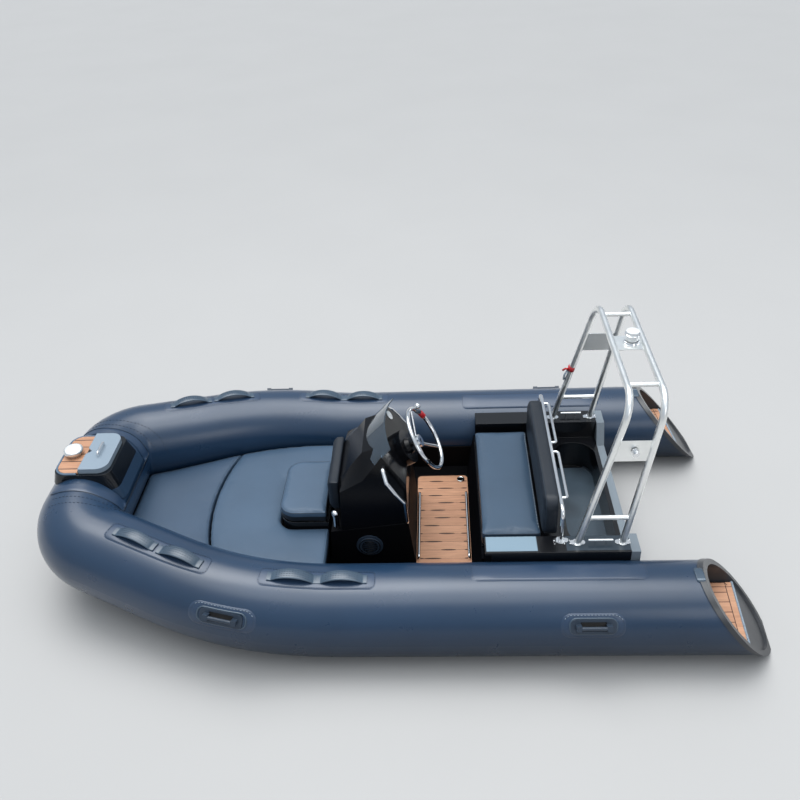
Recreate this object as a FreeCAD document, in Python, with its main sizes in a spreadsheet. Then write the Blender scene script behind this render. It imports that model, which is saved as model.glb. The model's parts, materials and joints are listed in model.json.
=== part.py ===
import FreeCAD, Part
import math
import os
import Sketcher
from FreeCAD import Placement, Rotation, Vector

# Rigid inflatable boat: a V hull, a fabric tube around it, a steering console, a stern
# bench and a polished roll bar. X runs to the bow, Y to port and Z up; the origin is on
# the waterline amidships. All sizes are millimetres and degrees.

SIZES = (
    # name, value
    ("tube_radius", 225),
    ("tube_spread", 747),
    ("tube_height", 214),
    ("tube_gap", 0.3),
    ("stern_x", -1709),
    ("stern_joint_x", -1480),
    ("stern_step_z", 165),
    ("rise_start_x", 210),
    ("rise_radius", 2000),
    ("rise_angle", 7.2),
    ("bow_bend_radius", 1719),
    ("bow_bend_angle", 21.7),
    ("bow_straight", 450),
    ("bow_hollow", 20),
    ("cap_lip", 5),
    ("cap_rim", 22),
    ("cap_wall", 22),
    ("cap_recess", 12),
    ("cap_step_front_x", -1505),
    ("cap_pad_thickness", 9),
    ("cap_pad_margin", 9),
    ("transom_x", -1258),
    ("transom_thickness", 45),
    ("transom_notch_z", 305),
    ("keel_depth", 200),
    ("chine_depth", 47),
    ("sheer_end_x", 1750),
    ("sheer_end_z", 205),
    ("floor_z", 47),
    ("floor_thickness", 12),
    ("liner_wall", 10),
    ("liner_bevel", 18),
    ("liner_curve", 26),
    ("liner_top_z", 227),
    ("deck_aft_x", -445),
    ("deck_front_x", -140),
    ("deck_thickness", 8),
    ("deck_corner", 25),
    ("coaming_top_z", 430),
    ("module_front_x", -498),
    ("module_foot_x", -448),
    ("module_wall", 14),
    ("bench_rim_z", 315),
    ("bench_lid_thickness", 12),
    ("bench_cushion_thickness", 66),
    ("bench_front_x", -490),
    ("bench_aft_x", -792),
    ("bench_gap", 5.5),
    ("well_front_x", -945),
    ("well_aft_x", -1190),
    ("well_floor_z", 135),
    ("well_corner", 110),
    ("backrest_x", -838),
    ("backrest_thickness", 55),
    ("backrest_low_z", 390),
    ("backrest_high_z", 640),
    ("backrest_corner", 60),
    ("backrest_tube", 11),
    ("backrest_post_x", -866),
    ("backrest_rail_z", 623),
    ("backrest_rail_tube", 8),
    ("backrest_rail_length", 360),
    ("backrest_rail_depth", 34),
    ("arch_foot_fore_x", -957),
    ("arch_foot_aft_x", -1179),
    ("arch_top_fore_x", -1148),
    ("arch_top_aft_x", -1303),
    ("arch_top_z", 1243),
    ("arch_tube", 17),
    ("arch_bend", 120),
    ("rung_tube", 12),
    ("foot_long", 38),
    ("foot_wide", 25),
    ("foot_thickness", 6),
    ("leg_plate_low_z", 926),
    ("leg_plate_high_z", 1038),
    ("rung_low_z", 589),
    ("rung_top_y", 325),
    ("plate_thickness", 4),
    ("light_plate_port_y", 29),
    ("light_plate_starboard_y", -103),
    ("lamp_radius", 32),
    ("lamp_height", 46),
    ("lamp_base_radius", 26),
    ("lamp_base_height", 22),
    ("lamp_y", -35),
    ("lamp_forward", -14),
    ("cleat_length", 120),
    ("cleat_height", 26),
    ("cleat_bar", 7),
    ("cleat_post", 6),
    ("cleat_outward", 8),
    ("console_half", 300),
    ("console_aft_x", -140),
    ("console_front_x", 330),
    ("console_joint_fore_z", 312),
    ("console_joint_aft_z", 365),
    ("console_top_half", 232),
    ("console_top_z", 762),
    ("console_ridge", 150),
    ("console_pad_x", 258),
    ("console_pad_thickness", 44),
    ("console_pad_half", 200),
    ("console_pad_low_z", 387),
    ("console_pad_high_z", 567),
    ("seat_aft_x", 340),
    ("seat_front_x", 600),
    ("seat_half", 222),
    ("seat_box_top_z", 299),
    ("seat_lid_thickness", 10),
    ("seat_cushion_thickness", 56),
    ("seat_round", 90),
    ("screen_thickness", 6),
    ("screen_foot_x", 118),
    ("screen_foot_z", 725),
    ("screen_foot_half", 238),
    ("screen_top_x", 6),
    ("screen_top_z", 833),
    ("screen_top_half", 222),
    ("vent_radius", 72),
    ("vent_height", 12),
    ("vent_x", 106),
    ("vent_z", 209),
    ("helm_tilt", 30),
    ("helm_x", -104),
    ("helm_z", 643),
    ("wheel_radius", 172),
    ("wheel_tube", 11),
    ("wheel_offset", 118),
    ("wheel_dish", 45),
    ("knob_radius", 16),
    ("hub_radius", 34),
    ("shaft_radius", 11),
    ("shaft_clearance", 0.1),
    ("pod_radius", 96),
    ("pod_height", 14),
    ("pod_depth", 60),
    ("bezel_radius", 48),
    ("bezel_height", 22),
    ("rail_tube", 11),
    ("gauge_up", 118),
    ("gauge_y", -165),
    ("gauge_radius", 26),
    ("gauge_height", 12),
    ("foot_rail_half", 265),
    ("foot_rail_height", 22),
    ("foot_rail_tube", 8),
    ("foot_rail_console_x", -154),
    ("foot_rail_bench_x", -432),
    ("ball_head_x", 279),
    ("ball_head_y", 272),
    ("ball_head_z", 305),
    ("ball_head_height", 112),
    ("ball_head_radius", 20),
    ("deck_fitting_x", -404),
    ("deck_fitting_inset", 39),
    ("deck_fitting_radius", 20),
    ("locker_top_z", 197),
    ("cushion_thickness", 58),
    ("cushion_clearance", 12),
    ("cushion_seam", 5),
    ("cushion_split_x", 1010),
    ("step_lean", 23),
    ("step_low_z", 465),
    ("step_front_low_z", 565),
    ("step_front_x", 1798),
    ("step_flare", 45),
    ("step_aft_base_x", 1430),
    ("step_aft_top_x", 1484),
    ("step_top_z", 635),
    ("step_pad_thickness", 8),
    ("step_pad_aft_x", 1660),
    ("step_pad_margin", 15),
    ("step_lid_thickness", 30),
    ("step_lid_gap", 6),
    ("step_lid_notch", 26),
    ("lid_handle_x", 1575),
    ("lid_handle_half", 50),
    ("lid_handle_height", 24),
    ("lid_handle_tube", 6),
    ("bollard_x", 1730),
    ("bollard_height", 14),
    ("bollard_post", 24),
    ("bollard_cap", 52),
    ("bollard_cap_height", 28),
    ("bollard_base", 34),
    ("bollard_base_height", 5),
    ("strap_length", 250),
    ("strap_width", 62),
    ("strap_rise", 34),
    ("strap_thickness", 7),
    ("strap_foot", 44),
    ("lift_length", 210),
    ("lift_width", 70),
    ("lift_bar", 9),
    ("lift_bar_height", 29),
    ("lift_rim", 12),
    ("lift_grip", 120),
)


class Size:
    """A number that also carries the expression it was worked out from."""

    def __init__(self, value, text):
        self.value = float(value)
        self.text = text

    @staticmethod
    def of(other):
        if isinstance(other, Size):
            return other
        return Size(other, repr(float(other)))

    def join(self, other, sign, value):
        return Size(value, "(%s %s %s)" % (self.text, sign, other.text))

    def __add__(self, other):
        other = Size.of(other)
        return self.join(other, "+", self.value + other.value)

    def __sub__(self, other):
        other = Size.of(other)
        return self.join(other, "-", self.value - other.value)

    def __mul__(self, other):
        other = Size.of(other)
        return self.join(other, "*", self.value * other.value)

    def __truediv__(self, other):
        other = Size.of(other)
        return self.join(other, "/", self.value / other.value)

    def __radd__(self, other):
        return Size.of(other) + self

    def __rsub__(self, other):
        return Size.of(other) - self

    def __rmul__(self, other):
        return Size.of(other) * self

    def __neg__(self):
        return Size.of(0) - self


def cosine(angle):
    return Size(math.cos(math.radians(angle.value)), "cos(%s)" % angle.text)


def sine(angle):
    return Size(math.sin(math.radians(angle.value)), "sin(%s)" % angle.text)


class Names:
    """The sheet's values by name."""


doc = FreeCAD.newDocument("rigid_inflatable_boat")
sheet = doc.addObject("Spreadsheet::Sheet", "Sizes")
s = Names()
for row, (name, value) in enumerate(SIZES, start=1):
    sheet.set("A%d" % row, name)
    sheet.set("B%d" % row, str(value))
    sheet.setAlias("B%d" % row, name)
    setattr(s, name, Size(value, "Sizes.%s" % name))
doc.recompute()

PLANES = {
    # plane: rotation that lays a sketch's X and Y on it
    "XY": Rotation(),
    "XZ": Rotation(Vector(1, 0, 0), Vector(0, 0, 1), Vector(0, -1, 0)),
    "YZ": Rotation(Vector(0, 1, 0), Vector(0, 0, 1), Vector(1, 0, 0)),
}
INSETS = (
    # half width, how far it lies inside the centre line of the tubes
    ("hull_top_half", 47),
    ("coaming_outer", 163),
    ("transom_foot_half", 202),
    ("liner_half", 226),
    ("arch_foot_y", 226),
    ("backrest_post_y", 242),
    ("coaming_inner", 275),
    ("chine_half", 277),
    ("arch_top_y", 282),
    ("backrest_half", 297),
    ("deck_half", 307),
    ("bench_half", 317),
    ("well_half", 327),
    ("transom_notch_half", 347),
)
for name, inset in INSETS:
    setattr(s, name, s.tube_spread - inset)

bow_corner = s.tube_radius + s.bow_hollow

NORMALS = {"XY": Vector(0, 0, 1), "XZ": Vector(0, -1, 0), "YZ": Vector(1, 0, 0)}
finished = []


def bind(item, **sizes):
    """Set properties of an item and tie them to the sheet."""
    for name, size in sizes.items():
        path = name.replace("__", ".")
        size = Size.of(size)
        if "." not in path:
            setattr(item, path, size.value)
        item.setExpression(path, size.text)
    return item


def place(item, x=0, y=0, z=0, rotation=None):
    """Put an item at a place that follows the sheet."""
    spot = [Size.of(value) for value in (x, y, z)]
    item.Placement = Placement(Vector(*[v.value for v in spot]), rotation or Rotation())
    for axis, value in zip("xyz", spot):
        item.setExpression("Placement.Base." + axis, value.text)
    return item


def box(name, x0, x1, y0, y1, z0, z1):
    item = doc.addObject("Part::Box", name)
    bind(item, Length=Size.of(x1) - x0, Width=Size.of(y1) - y0, Height=Size.of(z1) - z0)
    return place(item, x0, y0, z0)


def cylinder(name, radius, height, x, y, z, rotation=None):
    item = doc.addObject("Part::Cylinder", name)
    bind(item, Radius=radius, Height=height)
    return place(item, x, y, z, rotation)


def outline(name, plane, level, points):
    """A closed sketch of straight sides, each corner tied to the sheet."""
    sketch = doc.addObject("Sketcher::SketchObject", name)
    corners = [(Size.of(a), Size.of(b)) for a, b in points]
    flat = [Vector(a.value, b.value, 0) for a, b in corners]
    for start, end in zip(flat, flat[1:] + flat[:1]):
        sketch.addGeometry(Part.LineSegment(start, end), False)
    count = len(flat)
    for index in range(count):
        sketch.addConstraint(Sketcher.Constraint("Coincident", index, 2, (index + 1) % count, 1))
    for index, corner in enumerate(corners):
        for kind, value in zip(("DistanceX", "DistanceY"), corner):
            number = sketch.addConstraint(Sketcher.Constraint(kind, index, 1, value.value))
            sketch.setExpression("Constraints[%d]" % number, value.text)
    depth = Size.of(level)
    sketch.Placement = Placement(NORMALS[plane] * depth.value, PLANES[plane])
    axis = {"XY": "z", "XZ": "y", "YZ": "x"}[plane]
    if plane == "XZ":
        depth = -depth
    sketch.setExpression("Placement.Base." + axis, depth.text)
    return sketch


def prism(name, plane, low, high, points):
    """A closed outline drawn out between two levels along its plane's normal."""
    base = outline(name + "_outline", plane, low, points)
    item = doc.addObject("Part::Extrusion", name)
    item.Base = base
    item.DirMode = "Normal"
    item.Solid = True
    bind(item, LengthFwd=Size.of(high) - low)
    return item


def cut(name, base, *tools):
    for number, tool in enumerate(tools):
        item = doc.addObject("Part::Cut", name if number == len(tools) - 1 else name + "_cut")
        item.Base = base
        item.Tool = tool
        base = item
    return base


def fuse(name, *shapes):
    item = doc.addObject("Part::MultiFuse", name)
    item.Shapes = list(shapes)
    return item


def group(name, *shapes):
    item = doc.addObject("Part::Compound", name)
    item.Links = list(shapes)
    return item


def mirrored(name, source):
    item = doc.addObject("Part::Mirroring", name)
    item.Source = source
    item.Normal = Vector(0, 1, 0)
    return item


def rounded(name, base, radius, wanted):
    """Fillet the edges of a shape that a test picks."""
    doc.recompute()
    size = Size.of(radius).value
    picked = [n for n, edge in enumerate(base.Shape.Edges, start=1) if wanted(edge)]
    item = doc.addObject("Part::Fillet", name)
    item.Base = base
    item.Edges = [(n, size, size) for n in picked]
    return item


def along(axis):
    """A test for straight edges that run along an axis."""
    def wanted(edge):
        if len(edge.Vertexes) != 2 or not isinstance(edge.Curve, Part.Line):
            return False
        run = edge.Vertexes[1].Point - edge.Vertexes[0].Point
        return abs(abs(run.normalize().dot(axis)) - 1) < 1e-6
    return wanted


def loft(name, wires, ruled=False):
    sections = []
    for number, points in enumerate(wires):
        section = doc.addObject("Part::Polygon", "%s_section_%d" % (name, number))
        section.Nodes = [Vector(*[Size.of(c).value for c in point]) for point in points]
        section.Close = True
        sections.append(section)
    item = doc.addObject("Part::Loft", name)
    item.Sections = sections
    item.Solid = True
    item.Ruled = ruled
    return item


def feature(name, shape):
    item = doc.addObject("Part::Feature", name)
    spot = shape.Placement
    item.Shape = shape
    item.Placement = spot
    return item


def swept(name, points, radius, bend, closed=False):
    """A round tube along straight runs whose corners are bent to a radius."""
    corners = [Vector(*[Size.of(c).value for c in point]) for point in points]
    radius, bend = Size.of(radius).value, Size.of(bend).value
    edges = []
    start = corners[0]
    for before, corner, after in zip(corners, corners[1:], corners[2:]):
        inward, outward = (before - corner).normalize(), (after - corner).normalize()
        half = inward.getAngle(outward) / 2
        reach = bend / math.tan(half)
        one, two = corner + inward * reach, corner + outward * reach
        middle = corner + (inward + outward).normalize() * (bend / math.sin(half) - bend)
        if (one - start).Length > 1e-4:
            edges.append(Part.makeLine(start, one))
        edges.append(Part.Arc(one, middle, two).toShape())
        start = two
    edges.append(Part.makeLine(start, corners[-1]))
    spine = Part.Wire(edges)
    heading = (corners[1] - corners[0]).normalize()
    profile = Part.Wire([Part.makeCircle(radius, corners[0], heading)])
    return feature(name, spine.makePipeShell([profile], True, False))


def finish(item, label):
    item.Label = label
    finished.append(item)
    return item


# The tube's centre line: straight aft, then tilted up, bent inward and straight to the
# shoulder, where a tight corner turns it across the bow.

def tube_stations():
    tilt = math.radians(s.rise_angle.value)
    bend = math.radians(s.bow_bend_angle.value)
    out = Vector(0, 1, 0)
    start = Vector(s.stern_joint_x.value, s.tube_spread.value, s.tube_height.value)
    rise = Vector(s.rise_start_x.value, start.y, start.z)
    radius = s.rise_radius.value
    ahead = Vector(math.cos(tilt), 0, math.sin(tilt))
    turned = rise + Vector(radius * math.sin(tilt), 0, radius * (1 - math.cos(tilt)))
    half = rise + Vector(radius * math.sin(tilt / 2), 0, radius * (1 - math.cos(tilt / 2)))
    inward = s.bow_bend_radius.value
    centre = turned - out * inward
    middle = centre + (out * math.cos(bend / 2) + ahead * math.sin(bend / 2)) * inward
    bent = centre + (out * math.cos(bend) + ahead * math.sin(bend)) * inward
    course = ahead * math.cos(bend) - out * math.sin(bend)
    shoulder = bent + course * s.bow_straight.value
    corner = bow_corner.value
    centre = shoulder - (out * math.cos(bend) + ahead * math.sin(bend)) * corner
    between = (bend + math.pi / 2) / 2
    turning = centre + (out * math.cos(between) + ahead * math.sin(between)) * corner
    last = centre + ahead * corner
    return dict(start=start, rise=rise, half=half, turned=turned, middle=middle, bent=bent,
                course=course, shoulder=shoulder, turning=turning, last=last, ahead=ahead)


def side_tube(name, extra):
    at = tube_stations()
    spine = Part.Wire([
        Part.makeLine(at["start"], at["rise"]),
        Part.Arc(at["rise"], at["half"], at["turned"]).toShape(),
        Part.Arc(at["turned"], at["middle"], at["bent"]).toShape(),
        Part.makeLine(at["bent"], at["shoulder"]),
    ])
    circle = Part.makeCircle(s.tube_radius.value + extra, at["start"], Vector(1, 0, 0))
    return feature(name, spine.makePipeShell([Part.Wire([circle])], True, False))


def bow_tube(name, extra):
    """The tube across the bow, from one shoulder round to the other."""
    at = tube_stations()
    path = [at["shoulder"], at["turning"], at["last"]]
    other = [Vector(p.x, -p.y, p.z) for p in reversed(path)]
    spine = Part.Wire([Part.Arc(*path).toShape(), Part.makeLine(at["last"], other[0]),
                       Part.Arc(*other).toShape()])
    circle = Part.makeCircle(s.tube_radius.value + extra, at["shoulder"], at["course"])
    return feature(name, spine.makePipeShell([Part.Wire([circle])], True, False))


tube_skin = side_tube("side_tube", 0)
tube_port = finish(tube_skin, "tube_port")
tube_starboard = finish(mirrored("tube_starboard", tube_port), "tube_starboard")
tube_bow = finish(bow_tube("tube_bow", 0), "tube_bow")
tube_space = group("tube_space", side_tube("side_space", s.tube_gap.value),
                   mirrored("side_space_starboard", doc.getObject("side_space")),
                   bow_tube("bow_space", s.tube_gap.value))
doc.recompute()


# Stern cones: the tube's end cut on a slant, with a raised rim and a level step inside.

STERN_FACING = Vector(-1, 0.08, 0.85).normalize()


def stern_plane(offset):
    """A point on the slanted stern cut, moved into the cone."""
    centre = Vector(s.stern_x.value, s.tube_spread.value, s.tube_height.value)
    return centre - STERN_FACING * offset


def half_space(point, normal, reach=4000):
    """A large block on the side of a plane that its normal points to."""
    turn = Rotation(Vector(0, 0, 1), normal)
    block = Part.makeBox(2 * reach, 2 * reach, reach, Vector(-reach, -reach, 0))
    block.Placement = Placement(point, turn)
    return block


def stern_barrel(radius, low, high, forward):
    """A length of tube between two offsets from the slanted cut."""
    length = 1000
    start = Vector(forward - length, s.tube_spread.value, s.tube_height.value)
    barrel = Part.makeCylinder(radius, length, start, Vector(1, 0, 0))
    barrel = barrel.cut(half_space(stern_plane(low), STERN_FACING))
    if high is None:
        return barrel
    return barrel.common(half_space(stern_plane(high), STERN_FACING))


def stern_cap():
    radius = s.tube_radius.value
    joint = s.stern_joint_x.value
    inside = radius - s.cap_wall.value
    front = s.cap_step_front_x.value
    solid = stern_barrel(radius, 0, None, joint)
    solid = solid.fuse(stern_barrel(radius + s.cap_lip.value, 0, s.cap_rim.value, joint))
    recess = stern_barrel(inside, -50, s.cap_recess.value, joint)
    level = Vector(front, s.tube_spread.value, s.stern_step_z.value)
    cavity = stern_barrel(inside, -50, None, front).common(half_space(level, Vector(0, 0, 1)))
    solid = solid.cut(recess).cut(cavity)
    margin = s.cap_pad_margin.value
    pad = stern_barrel(inside - margin, s.cap_recess.value / 2 + margin, None, front - margin)
    pad = pad.common(half_space(level, Vector(0, 0, 1)))
    above = level + Vector(0, 0, s.cap_pad_thickness.value)
    return solid.removeSplitter(), pad.cut(half_space(above, Vector(0, 0, 1)))


cap_shape, pad_shape = stern_cap()
cap_port = finish(feature("stern_cap_port", cap_shape), "stern_cap_port")
cap_starboard = finish(mirrored("stern_cap_starboard", cap_port), "stern_cap_starboard")
pad_port = finish(feature("stern_pad_port", pad_shape), "stern_pad_port")
pad_starboard = finish(mirrored("stern_pad_starboard", pad_port), "stern_pad_starboard")


# Hull: a V bottom lofted from the transom to the stem, seated under the tubes and open
# above the cockpit floor.

HULL_STATIONS = (0.0, 0.4, 0.5, 0.58, 0.66, 0.74, 0.81, 0.87, 0.92, 0.965, 1.0)
HULL_LENGTH = tube_stations()["last"].x - s.transom_x.value - 60
KEEL_RISE = 387
CHINE_RISE = 250
SHEER_RISE = 145


def hull_section(share):
    """The hull's outline at a share of its length: keel, chine, spray rail and top edge."""
    fore = max(0.0, (share - 0.4) / 0.6)
    shoulder = max(0.0, (share - 0.62) / 0.38)
    x = s.transom_x.value + share * HULL_LENGTH
    low = KEEL_RISE * fore ** 2.6 - s.keel_depth.value
    narrow = 1 - 0.93 * fore ** 2.4
    corner = (s.chine_half.value * narrow, CHINE_RISE * fore ** 2 - s.chine_depth.value)
    shelf = (corner[0] + 22 * narrow, corner[1] + 4)
    rim = (s.hull_top_half.value * (1.03 - 0.5 * shoulder ** 2),
           s.floor_z.value + 30 + SHEER_RISE * fore ** 1.4)
    half = [(x, 0.0, low), (x, corner[0], corner[1]), (x, shelf[0], shelf[1]), (x, rim[0], rim[1])]
    other = [(x, -y, z) for x, y, z in reversed(half[1:])]
    return half + other


floor_low = s.floor_z - s.floor_thickness
hull_body = loft("hull_body", [hull_section(share) for share in HULL_STATIONS], True)
beyond = s.tube_spread + s.tube_radius
above_hull = prism("above_hull", "XZ", -beyond, beyond, [
    (s.transom_x - 50, floor_low), (s.console_front_x, floor_low),
    (s.sheer_end_x, s.sheer_end_z), (s.sheer_end_x, beyond), (s.transom_x - 50, beyond)])
finish(cut("hull", hull_body, above_hull, tube_space), "hull")

# Cockpit liner: floor and sides of the same section along the straight tubes.

rail, bevel, curve = s.liner_half, s.liner_bevel, s.liner_curve
inner = rail - s.liner_wall
liner = prism("liner_section", "YZ", s.transom_x + s.transom_thickness, s.console_front_x - 4, [
    (-rail, s.liner_top_z), (-rail, floor_low + bevel), (-rail + bevel, floor_low),
    (rail - bevel, floor_low), (rail, floor_low + bevel), (rail, s.liner_top_z),
    (inner, s.liner_top_z), (inner, s.floor_z + curve), (inner - curve, s.floor_z),
    (-inner + curve, s.floor_z), (-inner, s.floor_z + curve), (-inner, s.liner_top_z)])
finish(liner, "cockpit_liner")

deck_board = box("deck_board", s.deck_aft_x, s.deck_front_x, -s.deck_half, s.deck_half,
           s.floor_z, s.floor_z + s.deck_thickness)
deck = finish(rounded("teak_deck", deck_board, s.deck_corner, along(Vector(0, 0, 1))), "teak_deck")


# Bow locker under the cushions, filling the bow inside the tubes down to the hull.

def bow_block(name, low, high):
    at = tube_stations()
    half = [(s.console_front_x.value, at["turned"].y), (at["turned"].x, at["turned"].y),
            (at["bent"].x, at["bent"].y), (at["shoulder"].x, at["shoulder"].y),
            (at["last"].x, at["last"].y)]
    points = half + [(x, -y) for x, y in reversed(half)]
    return prism(name, "XY", low, high, points)


locker_part = doc.addObject("Part::Common", "bow_locker_part")
locker_part.Base = bow_block("locker_block", floor_low, s.locker_top_z)
locker_part.Tool = above_hull
locker = finish(cut("bow_locker", locker_part, tube_space), "bow_locker")

clear = s.cushion_clearance.value
cushion_space = group("cushion_space", side_tube("cushion_side", clear),
                      mirrored("cushion_side_starboard", doc.getObject("cushion_side")),
                      bow_tube("cushion_bow", clear))
cushion_low = s.locker_top_z + s.tube_gap
cushion_top = s.locker_top_z + s.cushion_thickness
filling = cut("cushion_filling", bow_block("cushion_block", cushion_low, cushion_top), cushion_space)
split_radius = 1300
split = cylinder("cushion_split", split_radius, 200, s.cushion_split_x - split_radius, 0,
                 s.locker_top_z - 50)
split_wide = cylinder("cushion_split_wide", split_radius + s.cushion_seam, 200,
                      s.cushion_split_x - split_radius, 0, s.locker_top_z - 50)


def front_corners(edge):
    return along(Vector(0, 0, 1))(edge) and edge.CenterOfMass.x > s.console_front_x.value + 150


seat_space = box("seat_space", s.console_front_x - 10, s.seat_front_x + 5, -s.seat_half - 5,
                 s.seat_half + 5, s.locker_top_z - 50, s.locker_top_z + 200)
seat_space_round = rounded("seat_space_round", seat_space, s.seat_round, front_corners)
console_space = box("console_space", s.console_front_x - 20, s.console_front_x + 3, -beyond, beyond,
                    s.locker_top_z - 50, s.locker_top_z + 200)
main_part = doc.addObject("Part::Common", "cushion_main_part")
main_part.Base, main_part.Tool = filling, split
finish(cut("bow_cushion_main", main_part, seat_space_round, console_space), "bow_cushion_main")
finish(cut("bow_cushion_front", filling, split_wide), "bow_cushion_front")

# Seat in front of the console: a box, and a lid with its cushion hinged at the front.

lid_low = s.seat_box_top_z
lid_top = lid_low + s.seat_lid_thickness
seat_top = lid_top + s.seat_cushion_thickness
box_outer = box("seat_box_outer", s.console_front_x, s.seat_front_x - 6, -s.seat_half + 6,
                s.seat_half - 6, s.locker_top_z, lid_low)
box_round = rounded("seat_box_round", box_outer, s.seat_round - 6, front_corners)
box_hollow = box("seat_box_hollow", s.console_front_x + 60, s.seat_front_x - 40,
                 -s.seat_half + 40, s.seat_half - 40, s.locker_top_z + 8, lid_low + 5)
finish(cut("seat_box", box_round, box_hollow), "seat_box")
lid = box("seat_lid_board", s.seat_aft_x, s.seat_front_x, -s.seat_half, s.seat_half,
          lid_low + s.tube_gap, lid_top)
finish(rounded("seat_lid", lid, s.seat_round, front_corners), "seat_lid")
pad = box("seat_cushion_block", s.seat_aft_x, s.seat_front_x, -s.seat_half, s.seat_half,
          lid_top + s.tube_gap, seat_top)
finish(rounded("seat_cushion", pad, s.seat_round, front_corners), "seat_cushion")

# Console: a base box, a moulded body with a raked dash, and the padded front.

helm_normal = Vector(-math.cos(math.radians(s.helm_tilt.value)), 0,
                     math.sin(math.radians(s.helm_tilt.value)))
console_back = s.console_aft_x + 30
base = prism("console_base_block", "XZ", -s.console_half, s.console_half, [
    (s.console_aft_x, s.floor_z), (s.console_front_x, s.floor_z),
    (s.console_front_x - 22, s.console_joint_fore_z), (console_back, s.console_joint_aft_z)])
finish(cut("console_base", base, locker), "console_base")

CONSOLE_CORNERS = (
    # x and z at the side, x and z at the ridge, from the joint's aft end round the front
    (-107, 365, -107, 365),
    (250, 312, 258, 312),
    (243, 557, 258, 550),
    (121, 623, 122, 731),
    (14, 762, 14, 771),
    (-76, 639, -76, 639),
    (-107, 597, -107, 597),
)


def console_section(side, at_side):
    """A profile of the console, on its leaning side or on the ridge beside the middle."""
    lean = (s.console_half - s.console_top_half) / (s.console_top_z - s.console_joint_fore_z)
    points = []
    for x_side, z_side, x_ridge, z_ridge in CONSOLE_CORNERS:
        if at_side:
            y = s.console_half - (z_side - s.console_joint_fore_z) * lean
            points.append((x_side, y * side, z_side))
        else:
            points.append((x_ridge, s.console_ridge * side, z_ridge))
    return points


body_loft = loft("console_loft", [console_section(1, True), console_section(1, False),
                                  console_section(-1, False), console_section(-1, True)], True)
body = finish(cut("console_body", body_loft, base), "console_body")
pad_back = s.console_pad_x + s.tube_gap
front_pad = box("front_pad_block", pad_back, s.console_pad_x + s.console_pad_thickness,
                -s.console_pad_half, s.console_pad_half, s.console_pad_low_z, s.console_pad_high_z)
finish(rounded("console_front_pad", front_pad, 20, lambda edge: edge.CenterOfMass.x
               > s.console_pad_x.value + s.console_pad_thickness.value - 1), "console_front_pad")

# Windscreen: a raked sheet, bowed forward over the console's ridge.

def bowed_strip(middle, corner):
    """A closed thin outline, bowed through a middle point and two like corners."""
    back = (corner - Vector(middle.x, corner.y, middle.z)).normalize() * s.screen_thickness.value
    near, far = corner, Vector(corner.x, -corner.y, corner.z)
    fore = Part.Arc(near, middle, far).toShape()
    aft = Part.Arc(near + back, middle + back, far + back).toShape()
    return Part.Wire([fore, Part.makeLine(far, far + back), aft, Part.makeLine(near + back, near)])


def windscreen():
    foot = bowed_strip(Vector(s.screen_foot_x.value, 0, s.screen_foot_z.value),
                       Vector(s.screen_foot_x.value - 68, s.screen_foot_half.value,
                              s.screen_foot_z.value - 8))
    top = bowed_strip(Vector(s.screen_top_x.value, 0, s.screen_top_z.value),
                      Vector(s.screen_top_x.value - 37, s.screen_top_half.value,
                             s.screen_top_z.value - 23))
    return Part.makeLoft([foot, top], True, True)


doc.recompute()
screen = feature("windscreen_sheet", windscreen())
finish(cut("windscreen", screen, body), "windscreen")

# Round hatches on the console's sides.

def vent(name, side):
    turn = Rotation(Vector(1, 0, 0), -90 * side)
    y = s.console_half * side
    flange = cylinder(name + "_flange", s.vent_radius, s.vent_height / 2, s.vent_x, y, s.vent_z, turn)
    cover = cylinder(name + "_cover", s.vent_radius - 14, s.vent_height, s.vent_x, y, s.vent_z, turn)
    return fuse(name, flange, cover)


finish(group("console_vents", vent("vent_port", 1), vent("vent_starboard", -1)), "console_vents")


CONSOLE_RAIL = (
    # x, y, z of the corners from the upper end to the lower end
    (10, 225, 705),
    (8, 270, 705),
    (-10, 318, 663),
    (-52, 330, 601),
    (-96, 330, 537),
    (-104, 330, 401),
    (-100, 285, 387),
)


def console_rail(side):
    points = [(x, y * side, z) for x, y, z in CONSOLE_RAIL]
    return swept("console_rail_%d" % (side + 1), points, s.rail_tube, 18)


rails = group("console_rails_pair", console_rail(1), console_rail(-1))
finish(cut("console_rails", rails, body, base), "console_rails")

# Steering: a bezel and hub on the dash, and the wheel on its shaft.

helm_turn = Rotation(Vector(0, 0, 1), helm_normal)


def helm_place(item, along_axis):
    """Put an item made on the Z axis on the helm's axis."""
    spot = Vector(s.helm_x.value, 0, s.helm_z.value) + helm_normal * Size.of(along_axis).value
    item.Placement = Placement(spot, helm_turn)
    return item


pod = doc.addObject("Part::Cylinder", "helm_pod")
bind(pod, Radius=s.pod_radius, Height=s.pod_height + s.pod_depth)
helm_place(pod, -s.pod_depth)
bezel = doc.addObject("Part::Cone", "helm_bezel_cone")
bind(bezel, Radius1=s.bezel_radius, Radius2=s.bezel_radius - 10, Height=s.bezel_height)
helm_place(bezel, s.pod_height)
shaft = doc.addObject("Part::Cylinder", "helm_shaft")
bind(shaft, Radius=s.shaft_radius, Height=s.wheel_offset - s.wheel_dish)
helm_place(shaft, 0)
finish(cut("helm_hub", fuse("helm_parts", pod, bezel, shaft), body), "helm_hub")


KNOB_TURN = math.radians(-25)


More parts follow.
